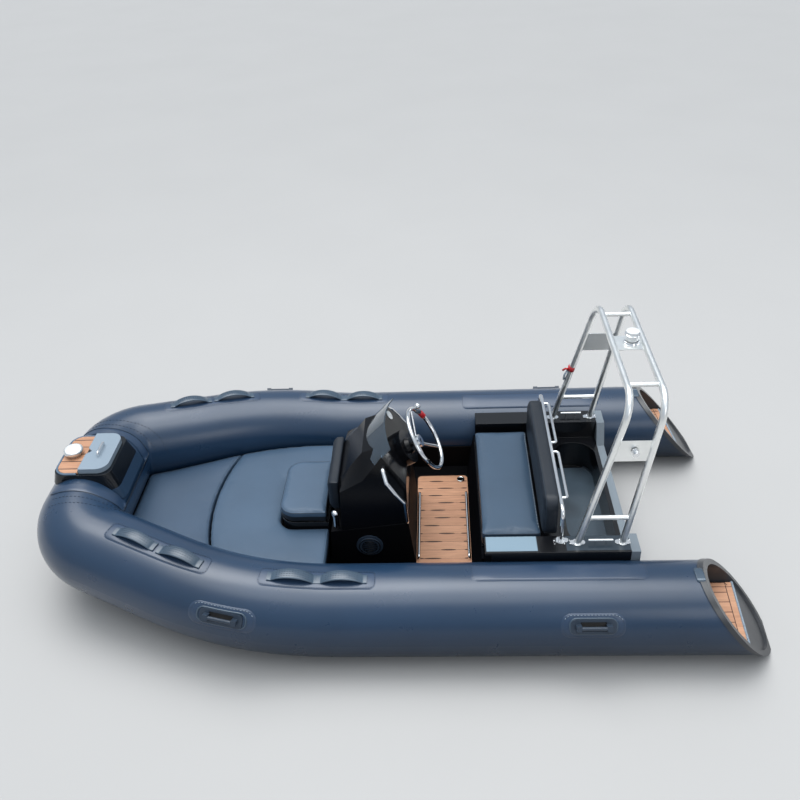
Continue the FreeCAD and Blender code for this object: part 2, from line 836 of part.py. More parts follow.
def steering_wheel():
    dish = s.wheel_dish.value
    rim = Part.makeTorus(s.wheel_radius.value, s.wheel_tube.value)
    hub = Part.makeCylinder(s.hub_radius.value, 36, Vector(0, 0, -dish - 18))
    shapes = [hub]
    for angle in (90, 210, 330):
        turn = math.radians(angle)
        reach = Vector(math.cos(turn), math.sin(turn), 0)
        start = reach * (s.hub_radius.value - 6) + Vector(0, 0, -dish)
        end = reach * s.wheel_radius.value
        shapes.append(Part.makeCylinder(7, (end - start).Length, start, end - start))
    knob = Vector(math.cos(KNOB_TURN), math.sin(KNOB_TURN), 0) * s.wheel_radius.value
    shapes.append(Part.makeCylinder(5, 44, knob))
    shapes.append(Part.makeSphere(s.knob_radius.value, knob + Vector(0, 0, 48)))
    wheel = rim.fuse(shapes)
    bore = Part.makeCylinder(s.shaft_radius.value + s.shaft_clearance.value, dish + 22,
                             Vector(0, 0, -dish - 22))
    return wheel.cut(bore)


wheel = feature("steering_wheel_shape", steering_wheel())
wheel.Placement = Placement(Vector(s.helm_x.value, 0, s.helm_z.value)
                            + helm_normal * s.wheel_offset.value, helm_turn)
finish(wheel, "steering_wheel")

dash_low, dash_high = CONSOLE_CORNERS[5], CONSOLE_CORNERS[4]
dash_rise = Vector(dash_high[2] - dash_low[2], 0, dash_high[3] - dash_low[3]).normalize()
dash_normal = dash_rise.cross(Vector(0, 1, 0)) * -1
gauge = doc.addObject("Part::Cylinder", "gauge_body")
bind(gauge, Radius=s.gauge_radius, Height=s.gauge_height)
place(gauge, dash_low[2] + s.gauge_up * dash_rise.x - 3 * dash_normal.x, s.gauge_y,
      dash_low[3] + s.gauge_up * dash_rise.z - 3 * dash_normal.z,
      Rotation(Vector(0, 0, 1), dash_normal))
finish(cut("dash_gauge", gauge, body), "dash_gauge")

# Chrome fittings: rails at the foot of the console and the bench, ball heads on the
# console's front corners and a round plate on the deck.


def foot_rail(name, x):
    half, low, high = s.foot_rail_half, deck_top - 4, deck_top + s.foot_rail_height
    return swept(name, [(x, -half, low), (x, -half, high), (x, half, high), (x, half, low)],
                 s.foot_rail_tube, 12)


def ball_head(name, side):
    y = side * s.ball_head_y
    post = cylinder(name + "_post", s.ball_head_radius * 0.75, s.ball_head_height,
                    s.ball_head_x, y, s.ball_head_z)
    ball = doc.addObject("Part::Sphere", name + "_ball")
    bind(ball, Radius=s.ball_head_radius)
    place(ball, s.ball_head_x, y, s.ball_head_z + s.ball_head_height)
    return fuse(name, post, ball)


deck_top = s.floor_z + s.deck_thickness
heads = group("ball_heads", ball_head("ball_port", 1), ball_head("ball_starboard", -1))
finish(cut("corner_fittings", heads, doc.getObject("console_base")), "corner_fittings")
finish(cylinder("deck_fitting_disc", s.deck_fitting_radius, 5, s.deck_fitting_x,
                -s.deck_half + s.deck_fitting_inset, deck_top), "deck_fitting")

# Aft module: bench, side coamings and open well in one moulding, and the transom.

inner_liner = s.liner_half - s.liner_wall - s.tube_gap
module_aft = s.transom_x + s.transom_thickness
sides = box("coaming_block", module_aft, s.module_front_x, -s.coaming_outer, s.coaming_outer,
            s.liner_top_z, s.coaming_top_z)
bench = prism("bench_block", "XZ", -inner_liner, inner_liner, [
    (module_aft, s.floor_z), (s.module_foot_x, s.floor_z), (s.bench_front_x + 4, s.bench_rim_z),
    (module_aft, s.bench_rim_z)])
solid = fuse("module_solid", sides, bench)
bench_locker = box("bench_locker", s.bench_aft_x + 40, s.bench_front_x - 40, -s.bench_half + 30,
                   s.bench_half - 30, s.floor_z + 14, s.bench_rim_z + 1)
recess = box("seat_recess", module_aft - 1, s.bench_front_x + 30, -s.coaming_inner,
             s.coaming_inner, s.bench_rim_z, s.coaming_top_z + 1)
well_box = box("well_block", s.well_aft_x, s.well_front_x, -s.well_half, s.well_half,
               s.well_floor_z, s.coaming_top_z)
well = rounded("well", well_box, s.well_corner, along(Vector(0, 0, 1)))
finish(cut("aft_module", solid, bench_locker, recess, well, tube_space, liner), "aft_module")
foot_rails = group("foot_rail_pair", foot_rail("foot_rail_console", s.foot_rail_console_x),
                   foot_rail("foot_rail_bench", s.foot_rail_bench_x))
finish(cut("foot_rails", foot_rails, deck), "foot_rails")

notch = s.transom_notch_half
board = prism("transom_plate", "YZ", s.transom_x, module_aft, [
    (-s.transom_foot_half, floor_low), (s.transom_foot_half, floor_low),
    (s.coaming_outer, floor_low + 60), (s.coaming_outer, s.coaming_top_z),
    (notch + 60, s.coaming_top_z), (notch, s.transom_notch_z),
    (-notch, s.transom_notch_z), (-notch - 60, s.coaming_top_z),
    (-s.coaming_outer, s.coaming_top_z), (-s.coaming_outer, floor_low + 60)])
finish(cut("transom_board", board, tube_space), "transom_board")

bench_lid_top = s.bench_rim_z + s.bench_lid_thickness
bench_top = bench_lid_top + s.bench_cushion_thickness
bench_lid = box("bench_lid_board", s.bench_aft_x, s.bench_front_x, -s.bench_half, s.bench_half,
                s.bench_rim_z + s.tube_gap, bench_lid_top)
finish(bench_lid, "bench_lid")
bench_pad = box("bench_cushion_block", s.bench_aft_x, s.bench_front_x, -s.bench_half,
                s.bench_half, bench_lid_top + s.tube_gap, bench_top)
finish(rounded("bench_cushion", bench_pad, 20, along(Vector(0, 0, 1))), "bench_cushion")

# Backrest: a padded board in front of a bent tube with two rails behind it.

back_front = s.backrest_x + s.backrest_thickness / 2
back_aft = s.backrest_x - s.backrest_thickness / 2
back_board = box("backrest_block", back_aft, back_front, -s.backrest_half, s.backrest_half,
                 s.backrest_low_z, s.backrest_high_z)
finish(rounded("backrest_pad", back_board, s.backrest_corner, along(Vector(1, 0, 0))),
       "backrest_pad")


def backrest_frame():
    x = (back_aft - s.backrest_tube - s.tube_gap).value
    z = s.backrest_rail_z.value
    y = s.backrest_post_y.value
    foot = s.coaming_top_z.value + 2
    hoop = swept("backrest_hoop", [(x, y, foot), (x, y, z), (x, -y, z), (x, -y, foot)],
                 s.backrest_tube, 45)
    rails = []
    for side in (1, -1):
        start, end = 40 * side, (40 + s.backrest_rail_length.value) * side
        depth = x - s.backrest_rail_depth.value
        rails.append(swept("backrest_rail_%d" % (side + 1),
                           [(x, start, z), (depth, start, z), (depth, end, z), (x, end, z)],
                           s.backrest_rail_tube, 16))
        rails.append(foot_plate("backrest_foot_%d" % (side + 1), Size.of(x),
                                s.backrest_post_y * side))
    return [hoop] + rails


def foot_plate(name, x, y):
    """An oval flange with the tube's socket standing on the coaming."""
    plate = doc.addObject("Part::Cylinder", name + "_disc")
    plate.Radius, plate.Height = s.foot_wide.value, s.foot_thickness.value
    place(plate, x, y, s.coaming_top_z)
    ends = box(name + "_bar", x - s.foot_long, x + s.foot_long, y - s.foot_wide * 0.6,
               y + s.foot_wide * 0.6, s.coaming_top_z, s.coaming_top_z + s.foot_thickness)
    return fuse(name, plate, rounded(name + "_ends", ends, s.foot_wide * 0.55,
                                     along(Vector(0, 0, 1))))


finish(fuse("backrest_frame", *backrest_frame()), "backrest_frame")

# Roll bar: two bent hoops joined by rungs and plates, each leg on an oval foot.

below_coaming = box("below_coaming", s.transom_x, s.backrest_x, -beyond, beyond,
                    s.coaming_top_z - 60, s.coaming_top_z)


def arch_hoop(name, foot_x, top_x):
    foot = s.coaming_top_z - 6
    bent = swept(name + "_bent", [(foot_x, s.arch_foot_y, foot), (top_x, s.arch_top_y, s.arch_top_z),
                                  (top_x, -s.arch_top_y, s.arch_top_z), (foot_x, -s.arch_foot_y, foot)],
                 s.arch_tube, s.arch_bend)
    return cut(name, bent, below_coaming)


hoop_fore = arch_hoop("arch_hoop_fore", s.arch_foot_fore_x, s.arch_top_fore_x)
hoop_aft = arch_hoop("arch_hoop_aft", s.arch_foot_aft_x, s.arch_top_aft_x)
finish(hoop_fore, "arch_hoop_fore")
finish(hoop_aft, "arch_hoop_aft")


def leg_point(foot_x, top_x, z, side):
    """The point of a leg's centre line at a height."""
    foot = s.coaming_top_z.value - 6
    share = (z - foot) / (s.arch_top_z.value - foot)
    return Vector(foot_x.value + share * (top_x.value - foot_x.value),
                  side * (s.arch_foot_y.value + share * (s.arch_top_y.value - s.arch_foot_y.value)),
                  z)


def both_legs(z, side):
    return (leg_point(s.arch_foot_fore_x, s.arch_top_fore_x, z, side),
            leg_point(s.arch_foot_aft_x, s.arch_top_aft_x, z, side))


def rung(name, fore, aft):
    tube = Part.makeCylinder(s.rung_tube.value, (aft - fore).Length, fore, aft - fore)
    return feature(name, tube)


def leg_plate(name, low, high, side):
    fore_low, aft_low = both_legs(low, side)
    fore_high, aft_high = both_legs(high, side)
    wire = Part.makePolygon([fore_low, aft_low, aft_high, fore_high, fore_low])
    face = Part.Face(wire)
    return feature(name, face.extrude(face.normalAt(0, 0) * s.plate_thickness.value))


rungs, plates = [], []
for side in (1, -1):
    rungs.append(rung("rung_low_%d" % (side + 1), *both_legs(s.rung_low_z.value, side)))
    plates.append(leg_plate("plate_%d" % (side + 1), s.leg_plate_low_z.value,
                            s.leg_plate_high_z.value, side))
    y = s.rung_top_y.value * side
    rungs.append(rung("rung_top_%d" % (side + 1), Vector(s.arch_top_fore_x.value, y, s.arch_top_z.value),
                      Vector(s.arch_top_aft_x.value, y, s.arch_top_z.value)))
light_plate = box("light_plate", s.arch_top_aft_x, s.arch_top_fore_x, s.light_plate_starboard_y,
                  s.light_plate_port_y, s.arch_top_z - s.plate_thickness / 2,
                  s.arch_top_z + s.plate_thickness / 2)
hoops = group("hoops", hoop_fore, hoop_aft)
finish(cut("arch_rungs", group("all_rungs", *rungs), hoops), "arch_rungs")
finish(cut("arch_plates", group("all_plates", light_plate, *plates), hoops), "arch_plates")
feet = [foot_plate("arch_foot_%d_%d" % (number, side + 1), x, s.arch_foot_y * side)
        for number, x in enumerate((s.arch_foot_fore_x, s.arch_foot_aft_x)) for side in (1, -1)]
finish(cut("arch_feet", group("all_feet", *feet), hoops), "arch_feet")

lamp_x = (s.arch_top_fore_x + s.arch_top_aft_x) / 2 + s.lamp_forward
lamp_z = s.arch_top_z + s.plate_thickness / 2
lamp_base = cylinder("lamp_base", s.lamp_base_radius, s.lamp_base_height, lamp_x, s.lamp_y, lamp_z)
lamp_globe = cylinder("lamp_globe", s.lamp_radius, s.lamp_height, lamp_x, s.lamp_y,
                      lamp_z + s.lamp_base_height)
finish(fuse("mast_light", lamp_base, lamp_globe), "mast_light")


def cleat(name, side):
    """A two-legged cleat with a round bar, its legs standing on the coaming."""
    x = (s.arch_foot_fore_x + s.arch_foot_aft_x) / 2
    y = side * (s.arch_foot_y + s.cleat_outward)
    z = s.coaming_top_z
    bar = cylinder(name + "_bar", s.cleat_bar, s.cleat_length, x - s.cleat_length / 2, y,
                   z + s.cleat_height, Rotation(Vector(0, 0, 1), Vector(1, 0, 0)))
    legs = [cylinder("%s_leg_%d" % (name, n), s.cleat_post, s.cleat_height,
                     x + s.cleat_length * share, y, z)
            for n, share in enumerate((-0.22, 0.22))]
    return fuse(name, bar, *legs)


finish(group("cleat_pair", cleat("cleat_port", 1), cleat("cleat_starboard", -1)), "side_cleats")

# Bow step: a moulded block seated on the bow tube, with a teak tread, a lid and a bollard.

STEP_SHARE = 0.846
bow_half = s.tube_spread - s.bow_bend_radius * (1 - cosine(s.bow_bend_angle)) \
    - s.bow_straight * sine(s.bow_bend_angle) - bow_corner * cosine(s.bow_bend_angle)
step_half_base = bow_half * STEP_SHARE
step_half_top = step_half_base - s.step_lean
step_board_z = s.step_top_z - s.step_pad_thickness


def step_ring(x0, x1, half, z):
    return [(x0, -half, z), (x1, -half, z), (x1, half, z), (x0, half, z)]


step_loft = loft("step_loft", [
    step_ring(s.step_aft_base_x, s.step_front_x + s.step_flare, step_half_base, s.step_low_z),
    step_ring(s.step_aft_top_x, s.step_front_x, step_half_top, step_board_z)], True)
step_round = rounded("step_round", step_loft, 60, lambda edge: len(edge.Vertexes) == 2
                     and abs(edge.Vertexes[0].Z - edge.Vertexes[1].Z) > 50)
under_step = prism("under_step", "XZ", -s.tube_spread, s.tube_spread, [
    (s.step_aft_base_x - 20, s.step_low_z - 20), (s.step_front_x + 80, s.step_low_z - 20),
    (s.step_front_x + 80, s.step_front_low_z), (s.step_front_x - 60, s.step_front_low_z)])
finish(cut("bow_step", step_round, under_step, tube_space), "bow_step")
tread_half = step_half_top - s.step_pad_margin
tread = box("step_tread", s.step_pad_aft_x, s.step_front_x - s.step_pad_margin, -tread_half,
            tread_half, step_board_z, s.step_top_z)
finish(rounded("bow_step_pad", tread, 60, lambda edge: along(Vector(0, 0, 1))(edge)
               and edge.CenterOfMass.x > s.step_pad_aft_x.value + 20), "bow_step_pad")
lid_aft = s.step_aft_top_x + s.step_pad_margin
lid_front = s.step_pad_aft_x - s.step_lid_gap
lid_z = step_board_z + s.tube_gap
hatch = prism("step_lid_plate", "XY", lid_z, lid_z + s.step_lid_thickness, [
    (lid_aft, -tread_half), (lid_front, -tread_half), (lid_front, -s.step_lid_notch),
    (lid_front - s.step_lid_notch, 0), (lid_front, s.step_lid_notch),
    (lid_front, tread_half), (lid_aft, tread_half)])
finish(rounded("bow_step_lid", hatch, 65, lambda edge: along(Vector(0, 0, 1))(edge)
               and edge.CenterOfMass.x < lid_aft.value + 5), "bow_step_lid")
grip_x, grip_half, grip_low = s.lid_handle_x, s.lid_handle_half, lid_z + s.step_lid_thickness
grip_high = grip_low + s.lid_handle_height
handle = swept("lid_handle_bar", [(grip_x, -grip_half, grip_low), (grip_x, -grip_half, grip_high),
                                  (grip_x, grip_half, grip_high), (grip_x, grip_half, grip_low)],
               s.lid_handle_tube, s.lid_handle_tube * 2)
finish(handle, "bow_lid_handle")
bollard_cap = cylinder("bollard_top", s.bollard_cap, s.bollard_cap_height, s.bollard_x, 0,
                       s.step_top_z + s.bollard_height)
bollard_post = cylinder("bollard_stem", s.bollard_post, s.bollard_height, s.bollard_x, 0, s.step_top_z)
bollard_base = cylinder("bollard_foot", s.bollard_base, s.bollard_base_height, s.bollard_x, 0,
                        s.step_top_z)
bollard_dome = rounded("bollard_dome", bollard_cap, s.bollard_cap_height * 0.4, lambda edge: edge.Closed)
finish(fuse("bow_bollard", bollard_dome, bollard_post, bollard_base), "bow_bollard")

# Fittings on the tubes: grab handles on the crown and lifting handles on the flank.

def on_tube(distance, roll, lift=0):
    """A point over the port tube's skin: its place, its heading and its outward normal.

    The distance runs along the centre line from the stern joint and the roll angle turns
    from the crown outward.
    """
    at = tube_stations()
    tilt = math.radians(s.rise_angle.value)
    out = Vector(0, 1, 0)
    lengths = [(at["rise"] - at["start"]).Length, s.rise_radius.value * tilt,
               s.bow_bend_radius.value * math.radians(s.bow_bend_angle.value)]
    if distance <= lengths[0]:
        centre, heading = at["start"] + Vector(distance, 0, 0), Vector(1, 0, 0)
    elif distance <= lengths[0] + lengths[1]:
        angle = (distance - lengths[0]) / s.rise_radius.value
        heading = Vector(math.cos(angle), 0, math.sin(angle))
        centre = at["rise"] + Vector(s.rise_radius.value * math.sin(angle), 0,
                                     s.rise_radius.value * (1 - math.cos(angle)))
    else:
        run = distance - lengths[0] - lengths[1]
        angle = min(run, lengths[2]) / s.bow_bend_radius.value
        pivot = at["turned"] - out * s.bow_bend_radius.value
        centre = pivot + (out * math.cos(angle) + at["ahead"] * math.sin(angle)) \
            * s.bow_bend_radius.value
        heading = at["ahead"] * math.cos(angle) - out * math.sin(angle)
        centre += heading * max(0, run - lengths[2])
    outward = Vector(0, 0, 1).cross(heading).normalize()
    crown = heading.cross(outward).normalize()
    turn = math.radians(roll)
    normal = crown * math.cos(turn) + outward * math.sin(turn)
    return centre + normal * (s.tube_radius.value + lift), heading, normal


def grab_handle(distance, roll):
    """An arched strap whose two ends are bonded to the tube."""
    spot, heading, normal = on_tube(distance, roll)
    across = normal.cross(heading).normalize()
    wide, rise = s.strap_width.value, s.strap_rise.value
    half = s.strap_length.value / 2
    inner_half = half - s.strap_foot.value

    def point(a, n):
        return spot + heading * a + normal * n - across * (wide / 2)

    low = -8
    outer = Part.Arc(point(-half, 2), point(0, rise), point(half, 2)).toShape()
    crown = point(0, rise - s.strap_thickness.value)
    inner = Part.Arc(point(inner_half, low), crown, point(-inner_half, low)).toShape()
    lines = [Part.makeLine(point(half, 2), point(half, low)),
             Part.makeLine(point(half, low), point(inner_half, low)),
             Part.makeLine(point(-inner_half, low), point(-half, low)),
             Part.makeLine(point(-half, low), point(-half, 2))]
    wire = Part.Wire(Part.__sortEdges__([outer, inner] + lines))
    return Part.Face(wire).extrude(across * wide)


GRAB_HANDLES = (
    # distance along the tube, roll
    (1678, 2),
    (1945, 2),
    (2510, 3),
    (2770, 3),
)
straps = [feature("strap_%d" % number, grab_handle(distance, roll))
          for number, (distance, roll) in enumerate(GRAB_HANDLES)]
grab = finish(cut("grab_handles_port", group("straps", *straps), tube_skin), "grab_handles_port")
finish(mirrored("grab_handles_starboard", grab), "grab_handles_starboard")


def lifting_handle(distance, roll):
    """A flat moulded patch on the flank with a bar over it."""
    spot, heading, normal = on_tube(distance, roll)
    across = normal.cross(heading).normalize()
    long, wide, grip = s.lift_length.value, s.lift_width.value, s.lift_grip.value
    deep = wide - 2 * s.lift_rim.value
    patch = Part.makeBox(long, wide, 26, Vector(-long / 2, -wide / 2, -18))
    patch = patch.makeFillet(22, [e for e in patch.Edges if along(Vector(0, 0, 1))(e)])
    patch = patch.cut(Part.makeBox(grip, deep, 40, Vector(-grip / 2, -deep / 2, 1)))
    reach = grip / 2 + 15
    bar = Part.makeCylinder(s.lift_bar.value, 2 * reach, Vector(-reach, 0, s.lift_bar_height.value),
                            Vector(1, 0, 0))
    ends = [Part.makeBox(26, 26, 34, Vector(side * (grip / 2 + 10) - 13, -13, 4)) for side in (1, -1)]
    solid = patch.fuse([bar] + ends)
    solid.Placement = Placement(spot, Rotation(heading, across, normal, "XYZ"))
    return solid


LIFTING_HANDLES = (
    # distance along the tube, roll
    (502, 62),
    (2226, 62),
)
handles = [feature("lift_%d" % number, lifting_handle(*row))
           for number, row in enumerate(LIFTING_HANDLES)]
lifts = finish(cut("lifting_handles_port", group("lifts", *handles), tube_skin),
               "lifting_handles_port")
finish(mirrored("lifting_handles_starboard", lifts), "lifting_handles_starboard")

doc.recompute()
os.makedirs("parts", exist_ok=True)
for item in finished:
    shape = item.Shape
    if "Invalid" in item.State or "Error" in item.State or shape.isNull() or not shape.isValid():
        raise RuntimeError("bad shape: " + item.Label)
    shape.exportStep("parts/%s.step" % item.Label)
    print(item.Label, len(shape.Solids), round(shape.Volume / 1e6, 2), len(shape.Faces))
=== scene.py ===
import json
import math
import random

import bmesh
import bpy
from mathutils import Matrix, Vector
from mathutils.bvhtree import BVHTree


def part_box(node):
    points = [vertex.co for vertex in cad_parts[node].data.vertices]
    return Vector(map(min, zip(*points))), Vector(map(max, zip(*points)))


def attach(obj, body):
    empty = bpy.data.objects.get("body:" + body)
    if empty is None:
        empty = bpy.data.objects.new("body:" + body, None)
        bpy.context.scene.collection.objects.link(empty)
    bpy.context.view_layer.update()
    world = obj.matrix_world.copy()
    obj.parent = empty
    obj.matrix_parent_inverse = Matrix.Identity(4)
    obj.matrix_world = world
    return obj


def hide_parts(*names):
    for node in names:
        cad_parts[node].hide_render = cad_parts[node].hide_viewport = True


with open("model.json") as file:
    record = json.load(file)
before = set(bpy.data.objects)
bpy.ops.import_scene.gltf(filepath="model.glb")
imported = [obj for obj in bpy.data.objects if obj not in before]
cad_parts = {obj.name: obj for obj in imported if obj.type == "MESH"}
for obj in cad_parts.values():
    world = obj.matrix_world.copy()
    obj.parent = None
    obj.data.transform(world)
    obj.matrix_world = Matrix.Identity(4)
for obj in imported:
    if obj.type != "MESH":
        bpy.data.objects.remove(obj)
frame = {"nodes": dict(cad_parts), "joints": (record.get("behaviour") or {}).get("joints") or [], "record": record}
nodes = frame["nodes"]
record_slots = {part["node"]: part["material_slot"] for part in frame["record"]["subparts"]}
joints = {joint["name"]: joint for joint in frame["joints"]}
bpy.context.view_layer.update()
scene = bpy.context.scene

UP, FORWARD, ACROSS = Vector((0, 0, 1)), Vector((1, 0, 0)), Vector((0, 1, 0))
SIDES = ((1, "port"), (-1, "starboard"))

# The tube's centre line, in metres, as the solids have it: a straight run, a rise and a bend

TUBE_RADIUS, TUBE_SPREAD, TUBE_HEIGHT = 0.225, 0.747, 0.214
STERN_JOINT_X, RISE_X, RISE_RADIUS, RISE_ANGLE = -1.48, 0.21, 2.0, math.radians(7.2)
BEND_RADIUS, BEND_ANGLE = 1.719, math.radians(21.7)

# Camera, world and lamps

CAMERA_AT = Vector((-0.3101, 3.4188, 3.3814))
YAW, PITCH, ROLL = 0.066, 0.6163, -0.0602
LENS, SENSOR = 36.51, 36


def make_camera():
    forward = Vector((math.sin(YAW) * math.cos(PITCH), -math.cos(YAW) * math.cos(PITCH),
                      -math.sin(PITCH)))
    right = Vector((-math.cos(YAW), -math.sin(YAW), 0))
    up = right.cross(forward)
    across = right * math.cos(ROLL) + up * math.sin(ROLL)
    above = up * math.cos(ROLL) - right * math.sin(ROLL)
    data = bpy.data.cameras.new("camera")
    data.lens, data.sensor_width = LENS, SENSOR
    data.clip_start, data.clip_end = 0.05, 200
    camera = bpy.data.objects.new("camera", data)
    turn = Matrix((across, above, -forward)).transposed().to_4x4()
    camera.matrix_world = Matrix.Translation(CAMERA_AT) @ turn
    scene.collection.objects.link(camera)
    scene.camera = camera


def add_lamp(name, data, heading, at=(0, 0, 0)):
    """A lamp whose light goes along a heading."""
    lamp = bpy.data.objects.new(name, data)
    lamp.location = at
    lamp.rotation_mode = "QUATERNION"
    lamp.rotation_quaternion = Vector(heading).to_track_quat("-Z", "Y")
    scene.collection.objects.link(lamp)


def area_light(name, at, target, size, power, colour):
    data = bpy.data.lights.new(name, "AREA")
    data.shape, data.size, data.size_y = "RECTANGLE", size[0], size[1]
    data.energy, data.color = power, colour
    add_lamp(name, data, Vector(target) - Vector(at), at)


def sun_light(name, source, strength, spread, colour):
    data = bpy.data.lights.new(name, "SUN")
    data.energy, data.angle, data.color = strength, math.radians(spread), colour
    add_lamp(name, data, -Vector(source))


# place between nadir and zenith, colour
SKY_STEPS = ((0.0, (0.26, 0.26, 0.26)), (0.49, (0.30, 0.30, 0.31)), (0.53, (0.42, 0.45, 0.50)),
             (0.75, (0.50, 0.58, 0.68)), (1.0, (0.95, 0.98, 1.0)))
SKY_STRENGTH, ZENITH_STRENGTH = 0.9, 3.0
ZENITH_FROM, ZENITH_FULL = 0.80, 0.97


def set_steps(ramp, steps):
    """The steps of a colour ramp."""
    while len(ramp.elements) < len(steps):
        ramp.elements.new(0.5)
    for element, (position, colour) in zip(ramp.elements, steps):
        element.position, element.color = position, (*colour, 1)


def make_world():
    """A soft sky: bright overhead, paler at the horizon and a plain grey below it."""
    world = bpy.data.worlds.new("studio")
    world.use_nodes = True
    tree = world.node_tree
    tree.nodes.clear()
    place = tree.nodes.new("ShaderNodeTexCoord")
    split = tree.nodes.new("ShaderNodeSeparateXYZ")
    stretch = tree.nodes.new("ShaderNodeMapRange")
    ramp = tree.nodes.new("ShaderNodeValToRGB")
    glow = tree.nodes.new("ShaderNodeMapRange")
    back = tree.nodes.new("ShaderNodeBackground")
    out = tree.nodes.new("ShaderNodeOutputWorld")
    stretch.inputs["From Min"].default_value = -1
    set_steps(ramp.color_ramp, SKY_STEPS)
    glow.interpolation_type = "SMOOTHSTEP"
    for key, number in (("From Min", ZENITH_FROM), ("From Max", ZENITH_FULL),
                        ("To Min", SKY_STRENGTH), ("To Max", ZENITH_STRENGTH)):
        glow.inputs[key].default_value = number
    for source, target in ((place.outputs["Generated"], split.inputs[0]),
                           (split.outputs["Z"], stretch.inputs["Value"]),
                           (stretch.outputs[0], ramp.inputs[0]),
                           (ramp.outputs[0], back.inputs["Color"]),
                           (split.outputs["Z"], glow.inputs["Value"]),
                           (glow.outputs[0], back.inputs["Strength"]),
                           (back.outputs[0], out.inputs[0])):
        tree.links.new(source, target)
    scene.world = world


make_camera()
make_world()
scene.view_settings.view_transform = "Standard"
sun_light("high_sun", (0.25, -0.45, 1.0), 1.0, 40, (1.0, 0.99, 0.97))
area_light("sky_panel", (0.0, -0.6, 6.0), (0.0, 0.0, 0), (7.0, 3.0), 90, (0.97, 0.985, 1.0))
area_light("side_panel", (-4.5, 6.5, 4.5), (-0.2, 0, 0.2), (4.0, 3.0), 60, (1.0, 0.985, 0.96))

# Materials

MATERIALS = {}
MASK_EDGE = 0.002


